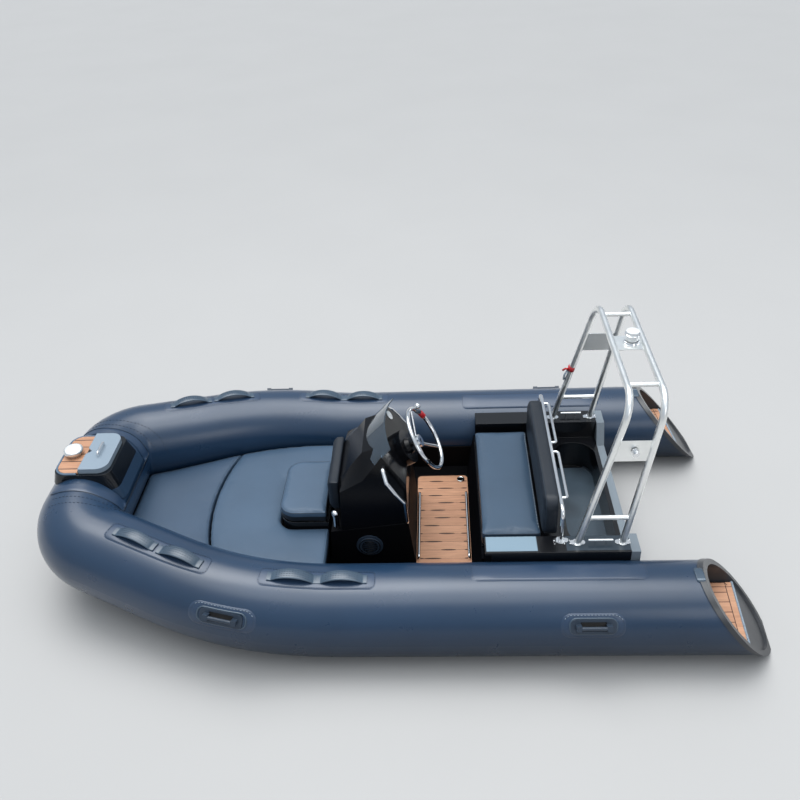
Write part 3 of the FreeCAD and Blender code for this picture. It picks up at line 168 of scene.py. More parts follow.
class Shader:
    """A principled material whose colour, roughness and relief come from its own nodes."""

    def __init__(self, name, metallic=0.0, **constants):
        self.material = bpy.data.materials.new(name)
        self.material.use_nodes = True
        self.tree = self.material.node_tree
        self.body = self.tree.nodes["Principled BSDF"]
        self.body.inputs["Metallic"].default_value = metallic
        for socket, value in constants.items():
            self.body.inputs[socket.replace("_", " ")].default_value = value
        self.place = self.node("ShaderNodeTexCoord").outputs["Object"]
        self.relief = None
        MATERIALS[name] = self.material

    def node(self, kind, **settings):
        item = self.tree.nodes.new(kind)
        for key, value in settings.items():
            setattr(item, key, value)
        return item

    def link(self, source, target):
        self.tree.links.new(source, target)

    def feed(self, socket, source):
        """Drive one of the shader's own sockets."""
        self.link(source, self.body.inputs[socket])

    def axis(self, name):
        """One coordinate of the object's own space."""
        split = self.node("ShaderNodeSeparateXYZ")
        self.link(self.place, split.inputs[0])
        return split.outputs[name]

    def stretched(self, scale, at=None):
        """A place with a scale for each axis."""
        mapping = self.node("ShaderNodeMapping")
        mapping.inputs["Scale"].default_value = scale
        self.link(at or self.place, mapping.inputs["Vector"])
        return mapping.outputs[0]

    def noise(self, scale, detail=3.0, at=None, distortion=0.0):
        item = self.node("ShaderNodeTexNoise")
        item.inputs["Scale"].default_value = scale
        item.inputs["Detail"].default_value = detail
        item.inputs["Distortion"].default_value = distortion
        self.link(at or self.place, item.inputs["Vector"])
        return item.outputs["Fac"]

    def cells(self, scale, feature="F1"):
        item = self.node("ShaderNodeTexVoronoi", feature=feature)
        item.inputs["Scale"].default_value = scale
        self.link(self.place, item.inputs["Vector"])
        return item.outputs["Distance"]

    def math(self, kind, one, two=0.0):
        item = self.node("ShaderNodeMath", operation=kind)
        for socket, value in zip(item.inputs, (one, two)):
            if isinstance(value, (int, float)):
                socket.default_value = value
            else:
                self.link(value, socket)
        return item.outputs[0]

    def range(self, value, low, high, start=0.0, end=1.0):
        """A value carried from start and end to low and high."""
        item = self.node("ShaderNodeMapRange")
        self.link(value, item.inputs["Value"])
        for key, number in zip(("From Min", "From Max", "To Min", "To Max"), (start, end, low, high)):
            item.inputs[key].default_value = number
        return item.outputs[0]

    def ramp(self, value, *steps):
        item = self.node("ShaderNodeValToRGB")
        set_steps(item.color_ramp, steps)
        self.link(value, item.inputs[0])
        return item.outputs[0]

    def mix(self, share, one, two):
        """Two colours mixed by a share."""
        item = self.node("ShaderNodeMix", data_type="RGBA")
        sockets = [item.inputs[index] for index in (0, 6, 7)]
        for socket, value in zip(sockets, (share, one, two)):
            if isinstance(value, float):
                socket.default_value = value
            elif isinstance(value, tuple):
                socket.default_value = (*value, 1)
            else:
                self.link(value, socket)
        return item.outputs[2]

    def varied(self, base, spread=0.18, scale=2.5):
        """A base colour that wanders a little lighter and darker over the surface."""
        low = tuple(c * (1 - spread) for c in base)
        high = tuple(c * (1 + spread) for c in base)
        self.feed("Base Color", self.ramp(self.noise(scale, 4), (0.3, low), (0.7, high)))

    def tinted(self, mask, colour):
        """Another base colour where a mask is one."""
        base = self.body.inputs["Base Color"].links[0].from_socket
        self.feed("Base Color", self.mix(mask, base, colour))

    def rough(self, scale, detail, limits):
        """A roughness that wanders between its limits."""
        self.feed("Roughness", self.range(self.noise(scale, detail), *limits))

    def dulled(self, mask, rough, gloss, coat, dull_rough=0.75):
        """A finish that turns dull where a mask is one."""
        self.feed("Roughness", self.range(mask, rough, dull_rough))
        self.feed("Specular IOR Level", self.range(mask, gloss, 0.0))
        self.feed("Coat Weight", self.range(mask, coat, 0.0))

    def banded(self, low, high, axis="Z"):
        """A mask: one between two levels of an axis."""
        value = self.axis(axis)
        return self.math("MULTIPLY", self.range(value, 0.0, 1.0, low - MASK_EDGE, low + MASK_EDGE),
                         self.range(value, 1.0, 0.0, high - MASK_EDGE, high + MASK_EDGE))

    def boxed(self, low, high):
        """A mask: one inside a box."""
        x, y, z = (self.banded(*limits, axis) for *limits, axis in zip(low, high, "XYZ"))
        return self.math("MULTIPLY", self.math("MULTIPLY", x, y), z)

    def edge(self, radius):
        """Soften sharp edges in the shading."""
        item = self.node("ShaderNodeBevel", samples=4)
        item.inputs["Radius"].default_value = radius
        self.relief = item.outputs[0]
        self.feed("Normal", self.relief)

    def bump(self, height, distance, strength):
        item = self.node("ShaderNodeBump")
        item.inputs["Strength"].default_value = strength
        item.inputs["Distance"].default_value = distance
        self.link(height, item.inputs["Height"])
        if self.relief is not None:
            self.link(self.relief, item.inputs["Normal"])
        self.relief = item.outputs[0]
        self.feed("Normal", self.relief)


# The last colour on this line is painted shade that darkens the tube's fabric towards the waterline.
FABRIC, FABRIC_ROUGH, PAINTED_WATER_SHADE = (0.0125, 0.036, 0.078), (0.24, 0.34), (0.004, 0.0055, 0.0065)
FOOT_LOW, FOOT_HIGH, FOOT_SHARE = 0.05, 0.34, 0.85


def make_fabric(name, base, rough=FABRIC_ROUGH):
    """Coated tube fabric, darkened near the water by painted shade, dull there and glossier towards the crown."""
    shader = Shader(name, Coat_Roughness=0.22)
    shader.varied(base, 0.12, 1.6)
    height = shader.axis("Z")
    foot = shader.range(height, 1.0, 0.0, FOOT_LOW, FOOT_HIGH)
    # Painted shade: the base colour darkens towards the waterline.
    shader.tinted(shader.math("MULTIPLY", foot, FOOT_SHARE), PAINTED_WATER_SHADE)
    shader.feed("Coat Weight", shader.range(height, 0.0, 0.36, 0.15, 0.40))
    shader.feed("Specular IOR Level", shader.range(height, 0.15, 0.5, 0.05, 0.36))
    shader.rough(9, 5, rough)
    shader.bump(shader.noise(5, 2), 0.004, 0.25)
    weave = shader.math("ADD", shader.cells(420), shader.noise(900, 1))
    shader.bump(weave, 0.0002, 0.2)
    return shader


CONE_GREY = (0.036, 0.038, 0.042)
CONE_INSIDE, CONE_OUTSIDE = 0.2195, 0.2215
MOUTH_X, MOUTH_NORMAL = -1.709, (-0.7606, 0.0608, 0.6465)
RIM_FROM, RIM_FULL = -0.024, -0.022


def make_stern_cone():
    """Tube fabric outside and a grey moulded rim and inside, split at the slanted mouth."""
    shader = make_fabric("stern_cone", FABRIC)
    ahead = shader.math("SUBTRACT", shader.axis("X"), MOUTH_X)
    beside = shader.math("SUBTRACT", shader.math("ABSOLUTE", shader.axis("Y")), TUBE_SPREAD)
    above = shader.math("SUBTRACT", shader.axis("Z"), TUBE_HEIGHT)
    squares = [shader.math("MULTIPLY", value, value) for value in (beside, above)]
    radius = shader.math("SQRT", shader.math("ADD", *squares))
    shares = [shader.math("MULTIPLY", value, share)
              for value, share in zip((ahead, beside, above), MOUTH_NORMAL)]
    reach = shader.math("ADD", shader.math("ADD", shares[0], shares[1]), shares[2])
    inner = shader.range(radius, 1.0, 0.0, CONE_INSIDE, CONE_OUTSIDE)
    rim = shader.range(reach, 0.0, 1.0, RIM_FROM, RIM_FULL)
    shader.tinted(shader.math("MAXIMUM", inner, rim), CONE_GREY)


PAD_SIDE = (0.005, 0.007, 0.011)


def make_vinyl(name, base, rough=(0.38, 0.52), level=None):
    """Marine vinyl with a fine grain, dark under a level where a pad's side begins."""
    shader = Shader(name, Specular_IOR_Level=0.4)
    shader.varied(base, 0.08, 3.0)
    if level is not None:
        below = shader.range(shader.axis("Z"), 1.0, 0.0, level - MASK_EDGE, level + MASK_EDGE)
        shader.tinted(below, PAD_SIDE)
    shader.rough(22, 4, rough)
    shader.bump(shader.noise(7, 3, distortion=0.4), 0.006, 0.22)
    skin = shader.cells(260, "DISTANCE_TO_EDGE")
    shader.bump(shader.range(skin, 0, 1, 0.0, 0.12), 0.0004, 0.35)


def make_gelcoat(name, base, rough=(0.05, 0.12), spread=0.15, gloss=0.4, coat=0.15):
    shader = Shader(name, Specular_IOR_Level=gloss, Coat_Weight=coat, Coat_Roughness=0.04)
    shader.varied(base, spread, 2.0)
    shader.rough(30, 6, rough)
    shader.edge(0.003)
    shader.bump(shader.noise(38, 2), 0.0006, 0.25)
    return shader


BLACK, DEEP_BLACK = (0.0045, 0.005, 0.0065), (0.0028, 0.003, 0.004)
# low corner, high corner, colour: the parts of the coaming that carry the pale light of the sky
COAMING_PATCHES = (((-0.757, 0.445, 0.425), (-0.505, 0.572, 0.50), (0.22, 0.31, 0.38)),
                   ((-1.30, 0.445, 0.425), (-0.90, 0.572, 0.50), (0.030, 0.045, 0.060)))
WELL_FLOOR, WELL_GLOW = ((-1.22, -0.40, 0.05), (-0.90, 0.45, 0.15)), (0.060, 0.085, 0.110)
MODULE_FRONT = ((-0.53, -0.6, 0.0), (-0.40, 0.6, 0.415))
CONSOLE_AFT_FACE = ((-0.30, -0.6, 0.0), (-0.125, 0.6, 0.43))


def make_module():
    """Black gelcoat with the sky's light on the near coaming and on the well's floor."""
    shader = make_gelcoat("module_gelcoat", BLACK)
    for low, high, colour in COAMING_PATCHES:
        shader.tinted(shader.boxed(low, high), colour)
    clouded = shader.range(shader.noise(2.2, 2), 0.2, 1.0, 0.35, 0.6)
    shader.tinted(shader.math("MULTIPLY", shader.boxed(*WELL_FLOOR), clouded), WELL_GLOW)
    shader.dulled(shader.boxed(*MODULE_FRONT), 0.20, 0.4, 0.15)


def make_console():
    """Black gelcoat, dull on the aft face beside the deck."""
    shader = make_gelcoat("console_gelcoat", DEEP_BLACK)
    shader.dulled(shader.boxed(*CONSOLE_AFT_FACE), 0.17, 0.2, 0.05)


STEP_FOOT_LOW, STEP_FOOT_HIGH, STEP_FOOT = 0.30, 0.532, (0.020, 0.046, 0.088)


def make_step_body():
    """Gloss black above, and the tube's fabric carried up its foot."""
    shader = make_gelcoat("step_body", (0.006, 0.008, 0.011))
    foot = shader.banded(STEP_FOOT_LOW, STEP_FOOT_HIGH)
    shader.tinted(foot, STEP_FOOT)
    shader.feed("Roughness", shader.range(foot, 0.10, 0.38))


def make_moulding(name, base, rough, edge):
    shader = Shader(name)
    shader.varied(base, 0.12, 5.0)
    shader.rough(40, 4, rough)
    shader.edge(edge)
    shader.bump(shader.noise(700, 2), 0.0003, 0.5)


def make_chrome():
    shader = Shader("chrome", 1.0)
    shader.varied((0.82, 0.83, 0.84), 0.05, 12.0)
    shader.rough(25, 5, (0.03, 0.10))
    shader.edge(0.0006)


def make_steel():
    """Brushed tube."""
    shader = Shader("steel", 1.0)
    shader.varied((0.94, 0.95, 0.93), 0.05, 12.0)
    streaks = shader.noise(60, 4, shader.stretched((1, 1, 12)))
    shader.feed("Roughness", shader.range(streaks, 0.24, 0.40))
    shader.bump(streaks, 0.0002, 0.15)


PLANK = 0.0645
WOOD_DARK, WOOD_PALE, PORE = (0.40, 0.195, 0.108), (0.605, 0.318, 0.188), (0.20, 0.09, 0.05)
TONE_DARK, TONE_PALE, TONE_SHARE = (0.38, 0.185, 0.10), (0.66, 0.37, 0.225), 0.30


def make_teak():
    """Fore and aft planks, each of its own tone, with long grain and pores."""
    shader = Shader("teak")
    number = shader.math("FLOOR", shader.math("DIVIDE", shader.axis("Y"), PLANK))
    tone = shader.node("ShaderNodeTexWhiteNoise", noise_dimensions="1D")
    shader.link(number, tone.inputs["W"])
    shifted = shader.node("ShaderNodeVectorMath", operation="ADD")
    shader.link(shader.place, shifted.inputs[0])
    shader.link(tone.outputs["Color"], shifted.inputs[1])
    lengthwise = shader.stretched((1.0, 9.0, 9.0), shifted.outputs[0])
    grain = shader.noise(9, 6, lengthwise, 0.6)
    wood = shader.ramp(grain, (0.28, WOOD_DARK), (0.72, WOOD_PALE))
    tones = shader.ramp(tone.outputs["Value"], (0.0, TONE_DARK), (1.0, TONE_PALE))
    pores = shader.noise(70, 3, lengthwise)
    shader.feed("Base Color", shader.mix(shader.range(pores, 0.0, 0.35, 0.60, 0.78),
                                         shader.mix(TONE_SHARE, wood, tones), PORE))
    shader.feed("Roughness", shader.range(grain, 0.42, 0.60))
    shader.bump(pores, 0.0006, 0.4)


def make_screen():
    shader = Shader("tinted_screen", Transmission_Weight=0.85, IOR=1.49, Coat_Weight=0.5,
                    Coat_Roughness=0.03)
    shader.varied((0.16, 0.24, 0.32), 0.06, 3.0)
    shader.rough(18, 4, (0.02, 0.06))


def make_lamp():
    shader = Shader("lamp", Subsurface_Weight=0.2, Subsurface_Radius=(0.02, 0.02, 0.02),
                    Coat_Weight=0.4)
    shader.varied((0.72, 0.74, 0.74), 0.04, 12.0)
    shader.rough(60, 3, (0.2, 0.32))
    shader.edge(0.003)


def make_caulk(name, base):
    shader = Shader(name)
    shader.varied(base, 0.3, 40.0)
    shader.rough(120, 3, (0.45, 0.65))


def make_thread(name, base):
    shader = Shader(name)
    shader.varied(base, 0.15, 60.0)
    shader.rough(300, 3, (0.55, 0.8))
    shader.bump(shader.noise(1500, 2), 0.0002, 0.5)


def make_floor_material():
    shader = Shader("floor")
    shader.varied((0.462, 0.455, 0.446), 0.012, 0.8)
    shader.rough(2, 3, (0.7, 0.8))


def make_materials():
    make_fabric("tube_fabric", FABRIC)
    make_fabric("patch_fabric", (0.020, 0.045, 0.092), (0.30, 0.42))
    make_fabric("strap_fabric", (0.046, 0.076, 0.112), (0.26, 0.38))
    make_stern_cone()
    make_module()
    make_console()
    make_step_body()
    make_gelcoat("dull_black", DEEP_BLACK, (0.55, 0.65), gloss=0.05, coat=0.0)
    make_gelcoat("black_gelcoat", BLACK)
    make_gelcoat("hull_gelcoat", (0.10, 0.115, 0.13))
    make_gelcoat("transom_gelcoat", (0.20, 0.235, 0.265), (0.2, 0.3), 0.05)
    make_gelcoat("pale_moulding", (0.25, 0.31, 0.37), (0.16, 0.28), 0.05)
    make_gelcoat("step_lip", (0.10, 0.15, 0.21), (0.12, 0.22))
    make_moulding("red_tape", (0.45, 0.012, 0.018), (0.3, 0.4), 0.0005)
    make_moulding("handle_rubber", (0.022, 0.036, 0.058), (0.36, 0.5), 0.001)
    make_vinyl("cushion_vinyl", (0.052, 0.093, 0.148))
    make_vinyl("bow_pad_vinyl", (0.051, 0.092, 0.148), level=0.232)
    make_vinyl("bow_front_vinyl", (0.040, 0.073, 0.122), level=0.232)
    make_vinyl("seat_pad_vinyl", (0.062, 0.106, 0.166), level=0.347)
    make_vinyl("bench_pad_vinyl", (0.040, 0.074, 0.120), level=0.372)
    make_vinyl("backrest_vinyl", (0.010, 0.015, 0.023))
    make_vinyl("piping", (0.020, 0.032, 0.050), rough=(0.3, 0.4))
    make_teak()
    make_screen()
    make_chrome()
    make_steel()
    make_lamp()
    make_caulk("caulk", (0.010, 0.009, 0.009))
    make_caulk("stern_caulk", (0.035, 0.009, 0.005))
    make_thread("thread", (0.030, 0.045, 0.070))
    make_thread("pale_thread", (0.30, 0.36, 0.42))
    make_floor_material()


# Nodes whose finish differs from their slot's
FINISHES = {
    "stern_cap_port": "stern_cone", "stern_cap_starboard": "stern_cone",
    "aft_module": "module_gelcoat", "bow_step": "step_body", "bow_bollard": "steel",
    "console_body": "console_gelcoat", "helm_hub": "console_gelcoat",
    "console_base": "dull_black", "cockpit_liner": "dull_black",
    "transom_board": "transom_gelcoat",
}

make_materials()
for name, item in nodes.items():
    item.data.materials.clear()
    item.data.materials.append(MATERIALS[FINISHES.get(name, record_slots[name])])

# Forms


def circle(centre, radius, count, one=FORWARD, two=ACROSS):
    """Points round a circle in the plane of two directions."""
    centre = Vector(centre)
    angles = [2 * math.pi * step / count for step in range(count)]
    return [centre + (one * math.cos(a) + two * math.sin(a)) * radius for a in angles]


class Form:
    """Vertices and faces of one piece, gathered from bars, slabs and grids."""

    def __init__(self):
        self.vertices, self.faces = [], []

    def add(self, vertices, faces):
        base = len(self.vertices)
        self.vertices += vertices
        self.faces += [tuple(base + index for index in face) for face in faces]

    def bar(self, points, radius, sides=8, closed=False):
        """A round bar along the points."""
        points = [Vector(p) for p in points]
        count, normal, vertices, faces = len(points), None, [], []
        for index, point in enumerate(points):
            before = points[index - 1] if index or closed else point
            after = points[(index + 1) % count] if index + 1 < count or closed else point
            heading = (after - before).normalized()
            if normal is None:
                normal = heading.orthogonal().normalized()
            normal = (normal - heading * normal.dot(heading)).normalized()
            vertices += circle(point, radius, sides, normal, heading.cross(normal))
        for ring in range(count if closed else count - 1):
            low, high = ring * sides, (ring + 1) % count * sides
            for side in range(sides):
                other = (side + 1) % sides
                faces.append((low + side, low + other, high + other, high + side))
        if not closed:
            faces.append(tuple(range(sides)))
            faces.append(tuple((count - 1) * sides + side for side in range(sides)))
        self.add(vertices, faces)

    def slab(self, points, thick):
        """A flat plate that stands on its outline."""
        points, count = [Vector(p) for p in points], len(points)
        faces = [tuple(range(count)), tuple(range(count, 2 * count))]
        faces += [(i, (i + 1) % count, count + (i + 1) % count, count + i) for i in range(count)]
        self.add(points + [p + UP * thick for p in points], faces)

    def grid(self, rows, closed=False):
        """A sheet through rows of points."""
        wide = len(rows[0])
        faces = []
        for row in range(len(rows) - 1):
            for column in range(wide if closed else wide - 1):
                other = (column + 1) % wide
                faces.append((row * wide + column, row * wide + other,
                              (row + 1) * wide + other, (row + 1) * wide + column))
        self.add([Vector(p) for row in rows for p in row], faces)

    def build(self, name, material, body="boat", smooth=True):
        data = bpy.data.meshes.new(name)
        data.from_pydata(self.vertices, [], self.faces)
        mesh = bmesh.new()
        mesh.from_mesh(data)
        bmesh.ops.remove_doubles(mesh, verts=mesh.verts, dist=1e-6)
        bmesh.ops.recalc_face_normals(mesh, faces=mesh.faces)
        mesh.to_mesh(data)
        mesh.free()
        data.polygons.foreach_set("use_smooth", [smooth] * len(data.polygons))
        data.materials.append(MATERIALS[material])
        item = bpy.data.objects.new(name, data)
        scene.collection.objects.link(item)
        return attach(item, body)


def along(points, step):
    """The points of a line at even steps."""
    points = [Vector(p) for p in points]
    lengths = [0.0]
    for one, two in zip(points, points[1:]):
        lengths.append(lengths[-1] + (two - one).length)
    count = max(2, round(lengths[-1] / step) + 1)
    spread, index = [], 0
    for number in range(count):
        want = lengths[-1] * number / (count - 1)
        while index < len(points) - 2 and lengths[index + 1] < want:
            index += 1
        span = max(lengths[index + 1] - lengths[index], 1e-9)
        spread.append(points[index].lerp(points[index + 1], (want - lengths[index]) / span))
    return spread


def stitch(form, points, dash=0.008, gap=0.005, radius=0.0011):
    """A row of stitches along a line."""
    fine = along(points, (dash + gap) / 4)
    for start in range(0, len(fine) - 3, 4):
        form.bar(fine[start:start + 3], radius, 5)


def rounded(length, width, corner, steps=6):
    """The outline of a rectangle with round corners, as pairs around its middle."""
    points = []
    for quarter, (a, b) in enumerate(((1, 1), (-1, 1), (-1, -1), (1, -1))):
        for step in range(steps + 1):
            angle = math.pi / 2 * (quarter + step / steps)
            points.append((a * (length / 2 - corner) + corner * math.cos(angle),
                           b * (width / 2 - corner) + corner * math.sin(angle)))
    return points


def finer(points, step):
    """A closed outline of pairs with no side longer than a step."""
    ring = []
    for (a, b), (c, d) in zip(points, points[1:] + points[:1]):
        count = max(1, math.ceil(math.hypot(c - a, d - b) / step))
        ring += [(a + (c - a) * n / count, b + (d - b) * n / count) for n in range(count)]
    return ring


def inside(polygon, x, y):
    """Whether a point is in a closed outline."""
    within = False
    for (a, b), (c, d) in zip(polygon, polygon[1:] + polygon[:1]):
        if (b > y) != (d > y) and x < a + (y - b) * (c - a) / (d - b):
            within = not within
    return within


def top_outline(node, facing):
    """The border of a solid's flat side that faces one way, as an ordered closed line."""
    data = nodes[node].data
    best = max(v.co.dot(facing) for v in data.vertices)
    flat = [p for p in data.polygons if p.normal.dot(facing) > 0.999
            and abs(p.center.dot(facing) - best) < 0.001]
    count, place = {}, {}
    for polygon in flat:
        corners = []
        for index in polygon.vertices:
            spot = data.vertices[index].co
            key = tuple(round(c, 5) for c in spot)
            place[key] = spot.copy()
            corners.append(key)
        for pair in zip(corners, corners[1:] + corners[:1]):
            name = tuple(sorted(pair))
            count[name] = count.get(name, 0) + 1
    joined = {}
    for one, two in (pair for pair, uses in count.items() if uses == 1):
        joined.setdefault(one, []).append(two)
        joined.setdefault(two, []).append(one)
    start = next(iter(joined))
    line, last, spot = [start], None, start
    while True:
        following = [key for key in joined[spot] if key != last]
        if not following or following[0] == start:
            break
        last, spot = spot, following[0]
        line.append(spot)
    return [place[key] for key in line]


def border_of(node, facing, step):
    """The border of a flat side at even steps."""
    outline = top_outline(node, facing)
    return along(outline + outline[:1], step)[:-1]


def ring_in(line, inset, facing):
    """A closed line moved inward over the surface."""
    count, middle = len(line), sum(line, Vector()) / len(line)
    moved = []
    for index, point in enumerate(line):
        run = (line[(index + 1) % count] - line[index - 1]).normalized()
        inward = facing.cross(run).normalized()
        if inward.dot(middle - point) < 0:
            inward.negate()
        moved.append(point + inward * inset)
    return moved


# The tube's own frame


def on_tube(distance, roll, lift=0.0, side=1):
    """A point over the tube's skin: its place, its heading and its outward normal.

    The distance runs along the centre line from the stern joint and the roll, in degrees,
    turns from the crown outward.
    """
    straight, curve = RISE_X - STERN_JOINT_X, RISE_RADIUS * RISE_ANGLE
    ahead = Vector((math.cos(RISE_ANGLE), 0, math.sin(RISE_ANGLE)))
    rise = Vector((RISE_X, TUBE_SPREAD, TUBE_HEIGHT))
    if distance <= straight:
        centre, heading = rise + FORWARD * (distance - straight), FORWARD
    elif distance <= straight + curve:
        angle = (distance - straight) / RISE_RADIUS
        heading = Vector((math.cos(angle), 0, math.sin(angle)))
        centre = rise + Vector((math.sin(angle), 0, 1 - math.cos(angle))) * RISE_RADIUS
    else:
        turned = rise + Vector((math.sin(RISE_ANGLE), 0, 1 - math.cos(RISE_ANGLE))) * RISE_RADIUS
        run = distance - straight - curve
        angle = min(run / BEND_RADIUS, BEND_ANGLE)
        heading = ahead * math.cos(angle) - ACROSS * math.sin(angle)
        spoke = ACROSS * math.cos(angle) + ahead * math.sin(angle)
        centre = turned + (spoke - ACROSS) * BEND_RADIUS
        centre += heading * max(0.0, run - BEND_RADIUS * BEND_ANGLE)
    outward = UP.cross(heading).normalized()
    crown = heading.cross(outward).normalized()
    turn = math.radians(roll)
    normal = crown * math.cos(turn) + outward * math.sin(turn)
    spot = centre + normal * (TUBE_RADIUS + lift)
    mirror = Vector((1, side, 1))
    return spot * mirror, heading * mirror, normal * mirror


def tube_line(pairs, distance, roll, lift, side):
    """Pairs along and around the tube, laid on its skin."""
    return [on_tube(distance + a, roll + math.degrees(b / TUBE_RADIUS), lift, side)[0]
            for a, b in pairs]


PATCH_SHARES, PATCH_SINK = (0.0, 0.25, 0.5, 0.75, 0.975), -0.001


def tube_patch(form, distance, roll, size, side, lift=0.0011):
    """A patch of fabric bonded to the tube, whose border goes down into the skin."""
    outline = finer(rounded(*size), 0.012)
    rows = []
    for share, height in [(share, lift) for share in PATCH_SHARES] + [(1.0, PATCH_SINK)]:
        pairs = [(a * share, b * share) for a, b in outline]
        rows.append(tube_line(pairs, distance, roll, height, side))
    form.grid(rows, closed=True)


def tube_seam(form, distance, roll, size, side, lift, *thread):
    """A closed row of stitches on the tube."""
    outline = finer(rounded(*size), 0.006)
    stitch(form, tube_line(outline + outline[:1], distance, roll, lift, side), *thread)


# Soft pads, each blown up by a cloth simulation from its solid

PAD_GROWTH = 0.005
REST_SHARE = 0.6
CLOTH_FRAMES = 20
PIPING_INSET, PIPING_RADIUS = 0.002, 0.0016
SEAM_INSET, SEAM_LIFT, SEAM_THREAD = 0.009, 0.0004, (0.007, 0.005, 0.0007)
# name, node, material, body, facing, furthest swelling, voxel
PADS = (
    ("bow_pad_main", "bow_cushion_main", "bow_pad_vinyl", "boat", UP, 0.007, 0.010),
    ("bow_pad_front", "bow_cushion_front", "bow_front_vinyl", "boat", UP, 0.007, 0.010),
    ("seat_pad", "seat_cushion", "seat_pad_vinyl", "seat", UP, 0.008, 0.007),
    ("bench_pad", "bench_cushion", "bench_pad_vinyl", "bench_seat", UP, 0.010, 0.008),
    ("backrest_board", "backrest_pad", "backrest_vinyl", "boat", FORWARD, 0.008, 0.008),
    ("console_seat_back", "console_front_pad", "backrest_vinyl", "boat", FORWARD, 0.006, 0.006),
)


def evaluated(piece):
    return bpy.data.meshes.new_from_object(piece.evaluated_get(bpy.context.evaluated_depsgraph_get()))


def applied(piece):
    """Keep what a piece's modifiers make of it."""
    data = evaluated(piece)
    piece.modifiers.clear()
    piece.data = data


def grown(node, facing):
    """A pad's solid, larger all round, because the steps that follow draw it in."""
    low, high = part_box(node)
    middle = (low + high) / 2
    data = nodes[node].data.copy()
    for vertex in data.vertices:
        offset = vertex.co - middle
        for axis in range(3):
            offset[axis] *= 1 + 2 * PAD_GROWTH / (high[axis] - low[axis])
        vertex.co = middle + offset + facing * PAD_GROWTH
    return data


def remeshed(piece, voxel):
    weld = piece.modifiers.new("weld", "WELD")
    weld.merge_threshold = 1e-5
    remesh = piece.modifiers.new("remesh", "REMESH")
    remesh.mode, remesh.voxel_size = "VOXEL", voxel
    soften = piece.modifiers.new("soften", "SMOOTH")
    soften.factor, soften.iterations = 0.5, 4
    applied(piece)


def blown(piece):
    """Blow a piece up as cloth under pressure."""
    cloth = piece.modifiers.new("cloth", "CLOTH")
    cloth.settings.quality = 4
    cloth.settings.use_pressure = True
    cloth.settings.uniform_pressure_force = 4
    cloth.settings.effector_weights.gravity = 0
    cloth.collision_settings.use_collision = False
    cloth.point_cache.frame_start, cloth.point_cache.frame_end = 1, CLOTH_FRAMES
    for number in range(1, CLOTH_FRAMES + 1):
        scene.frame_set(number)
    applied(piece)
    scene.frame_set(1)


def settled(piece, start, facing, cap, rest, band):
    """Hold the swelling under its cap and lay the foot flat on what carries the pad."""
    for vertex, first in zip(piece.data.vertices, start):
        moved = vertex.co - first
        if moved.length > cap:
            moved *= cap / moved.length
        spot = first + moved
        depth = spot.dot(facing)
        if depth < rest + band:
            spot += facing * (rest - depth)
        vertex.co = spot


def swollen(name, node, material, body, facing, cap, voxel):
    """A crowned pad, flat where it rests."""
    piece = bpy.data.objects.new(name, grown(node, facing))
    scene.collection.objects.link(piece)
    remeshed(piece, voxel)
    start = [v.co.copy() for v in piece.data.vertices]
    blown(piece)
    rest = min(corner.dot(facing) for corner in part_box(node))
    settled(piece, start, facing, cap, rest, voxel * REST_SHARE)
    smoother = piece.modifiers.new("smoother", "SUBSURF")
    smoother.levels = smoother.render_levels = 1
    applied(piece)
    piece.data.polygons.foreach_set("use_smooth", [True] * len(piece.data.polygons))
    piece.data.materials.clear()
    piece.data.materials.append(MATERIALS[material])
    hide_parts(node)
    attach(piece, body)
    return piece


def laid(piece, line, facing, lift=0.0, above=0.008):
    """A line moved to the nearest of a pad's surface from a little above it."""
    tree = BVHTree.FromPolygons([v.co for v in piece.data.vertices],
                                [tuple(p.vertices) for p in piece.data.polygons])
    return [tree.find_nearest(point + facing * above)[0] + facing * lift for point in line]


def make_pads():
    """The pads, each with a piped border and a sewn seam inside it."""
    pads = {}
    for name, node, material, body, facing, cap, voxel in PADS:
        pad = swollen(name, node, material, body, facing, cap, voxel)
        border = laid(pad, ring_in(border_of(node, facing, 0.010), PIPING_INSET, facing), facing)
        piping = Form()
        piping.bar(border, PIPING_RADIUS, 8, closed=True)
        piping.build(name + "_piping", "piping", body)
        inner = laid(pad, ring_in(border, SEAM_INSET, facing), facing, SEAM_LIFT)
        seam = Form()
        stitch(seam, inner + inner[:1], *SEAM_THREAD)
        seam.build(name + "_stitches", "thread", body)
        pads[name] = pad
    return pads


pads = make_pads()

# Straps, patches and stitches on the tubes

# distance along the tube, roll
GRAB_STRAPS = ((1.678, 2.0), (1.945, 2.0), (2.510, 3.0), (2.770, 3.0))
STRAP_HALF, STRAP_ARCH, STRAP_WIDTH = 0.122, 0.100, 0.062
STRAP_FOOT, STRAP_RISE, STRAP_CROWN, STRAP_THICK = 0.0045, 0.034, 0.004, 0.0035
STRAP_END_WIDTH, STRAP_SEAM_LIFT, STRAP_SEAM_REACH = 0.86, 0.0038, 0.8
STRAP_SEAMS, STRAP_THREAD = (-0.018, -0.006, 0.006, 0.018), (0.009, 0.004, 0.0009)


def strap_share(a):
    """The arch's share of its full height at a place along a strap."""
    return max(0.0, 1 - (a / STRAP_ARCH) ** 2)


def strap_height(a, across, half):
    """A strap's middle over the crown line under it, following the tube's round at its ends."""
    share = strap_share(a)
    drop = TUBE_RADIUS - math.sqrt(TUBE_RADIUS ** 2 - across ** 2)
    crown = STRAP_CROWN * share * (1 - (across / half) ** 2)
    return STRAP_FOOT + (STRAP_RISE - STRAP_FOOT) * share ** 0.8 + crown - drop * (1 - share)


def squared(value):
    """A sine or cosine drawn out towards the corners of a square."""
    return math.copysign(abs(value) ** 0.5, value)


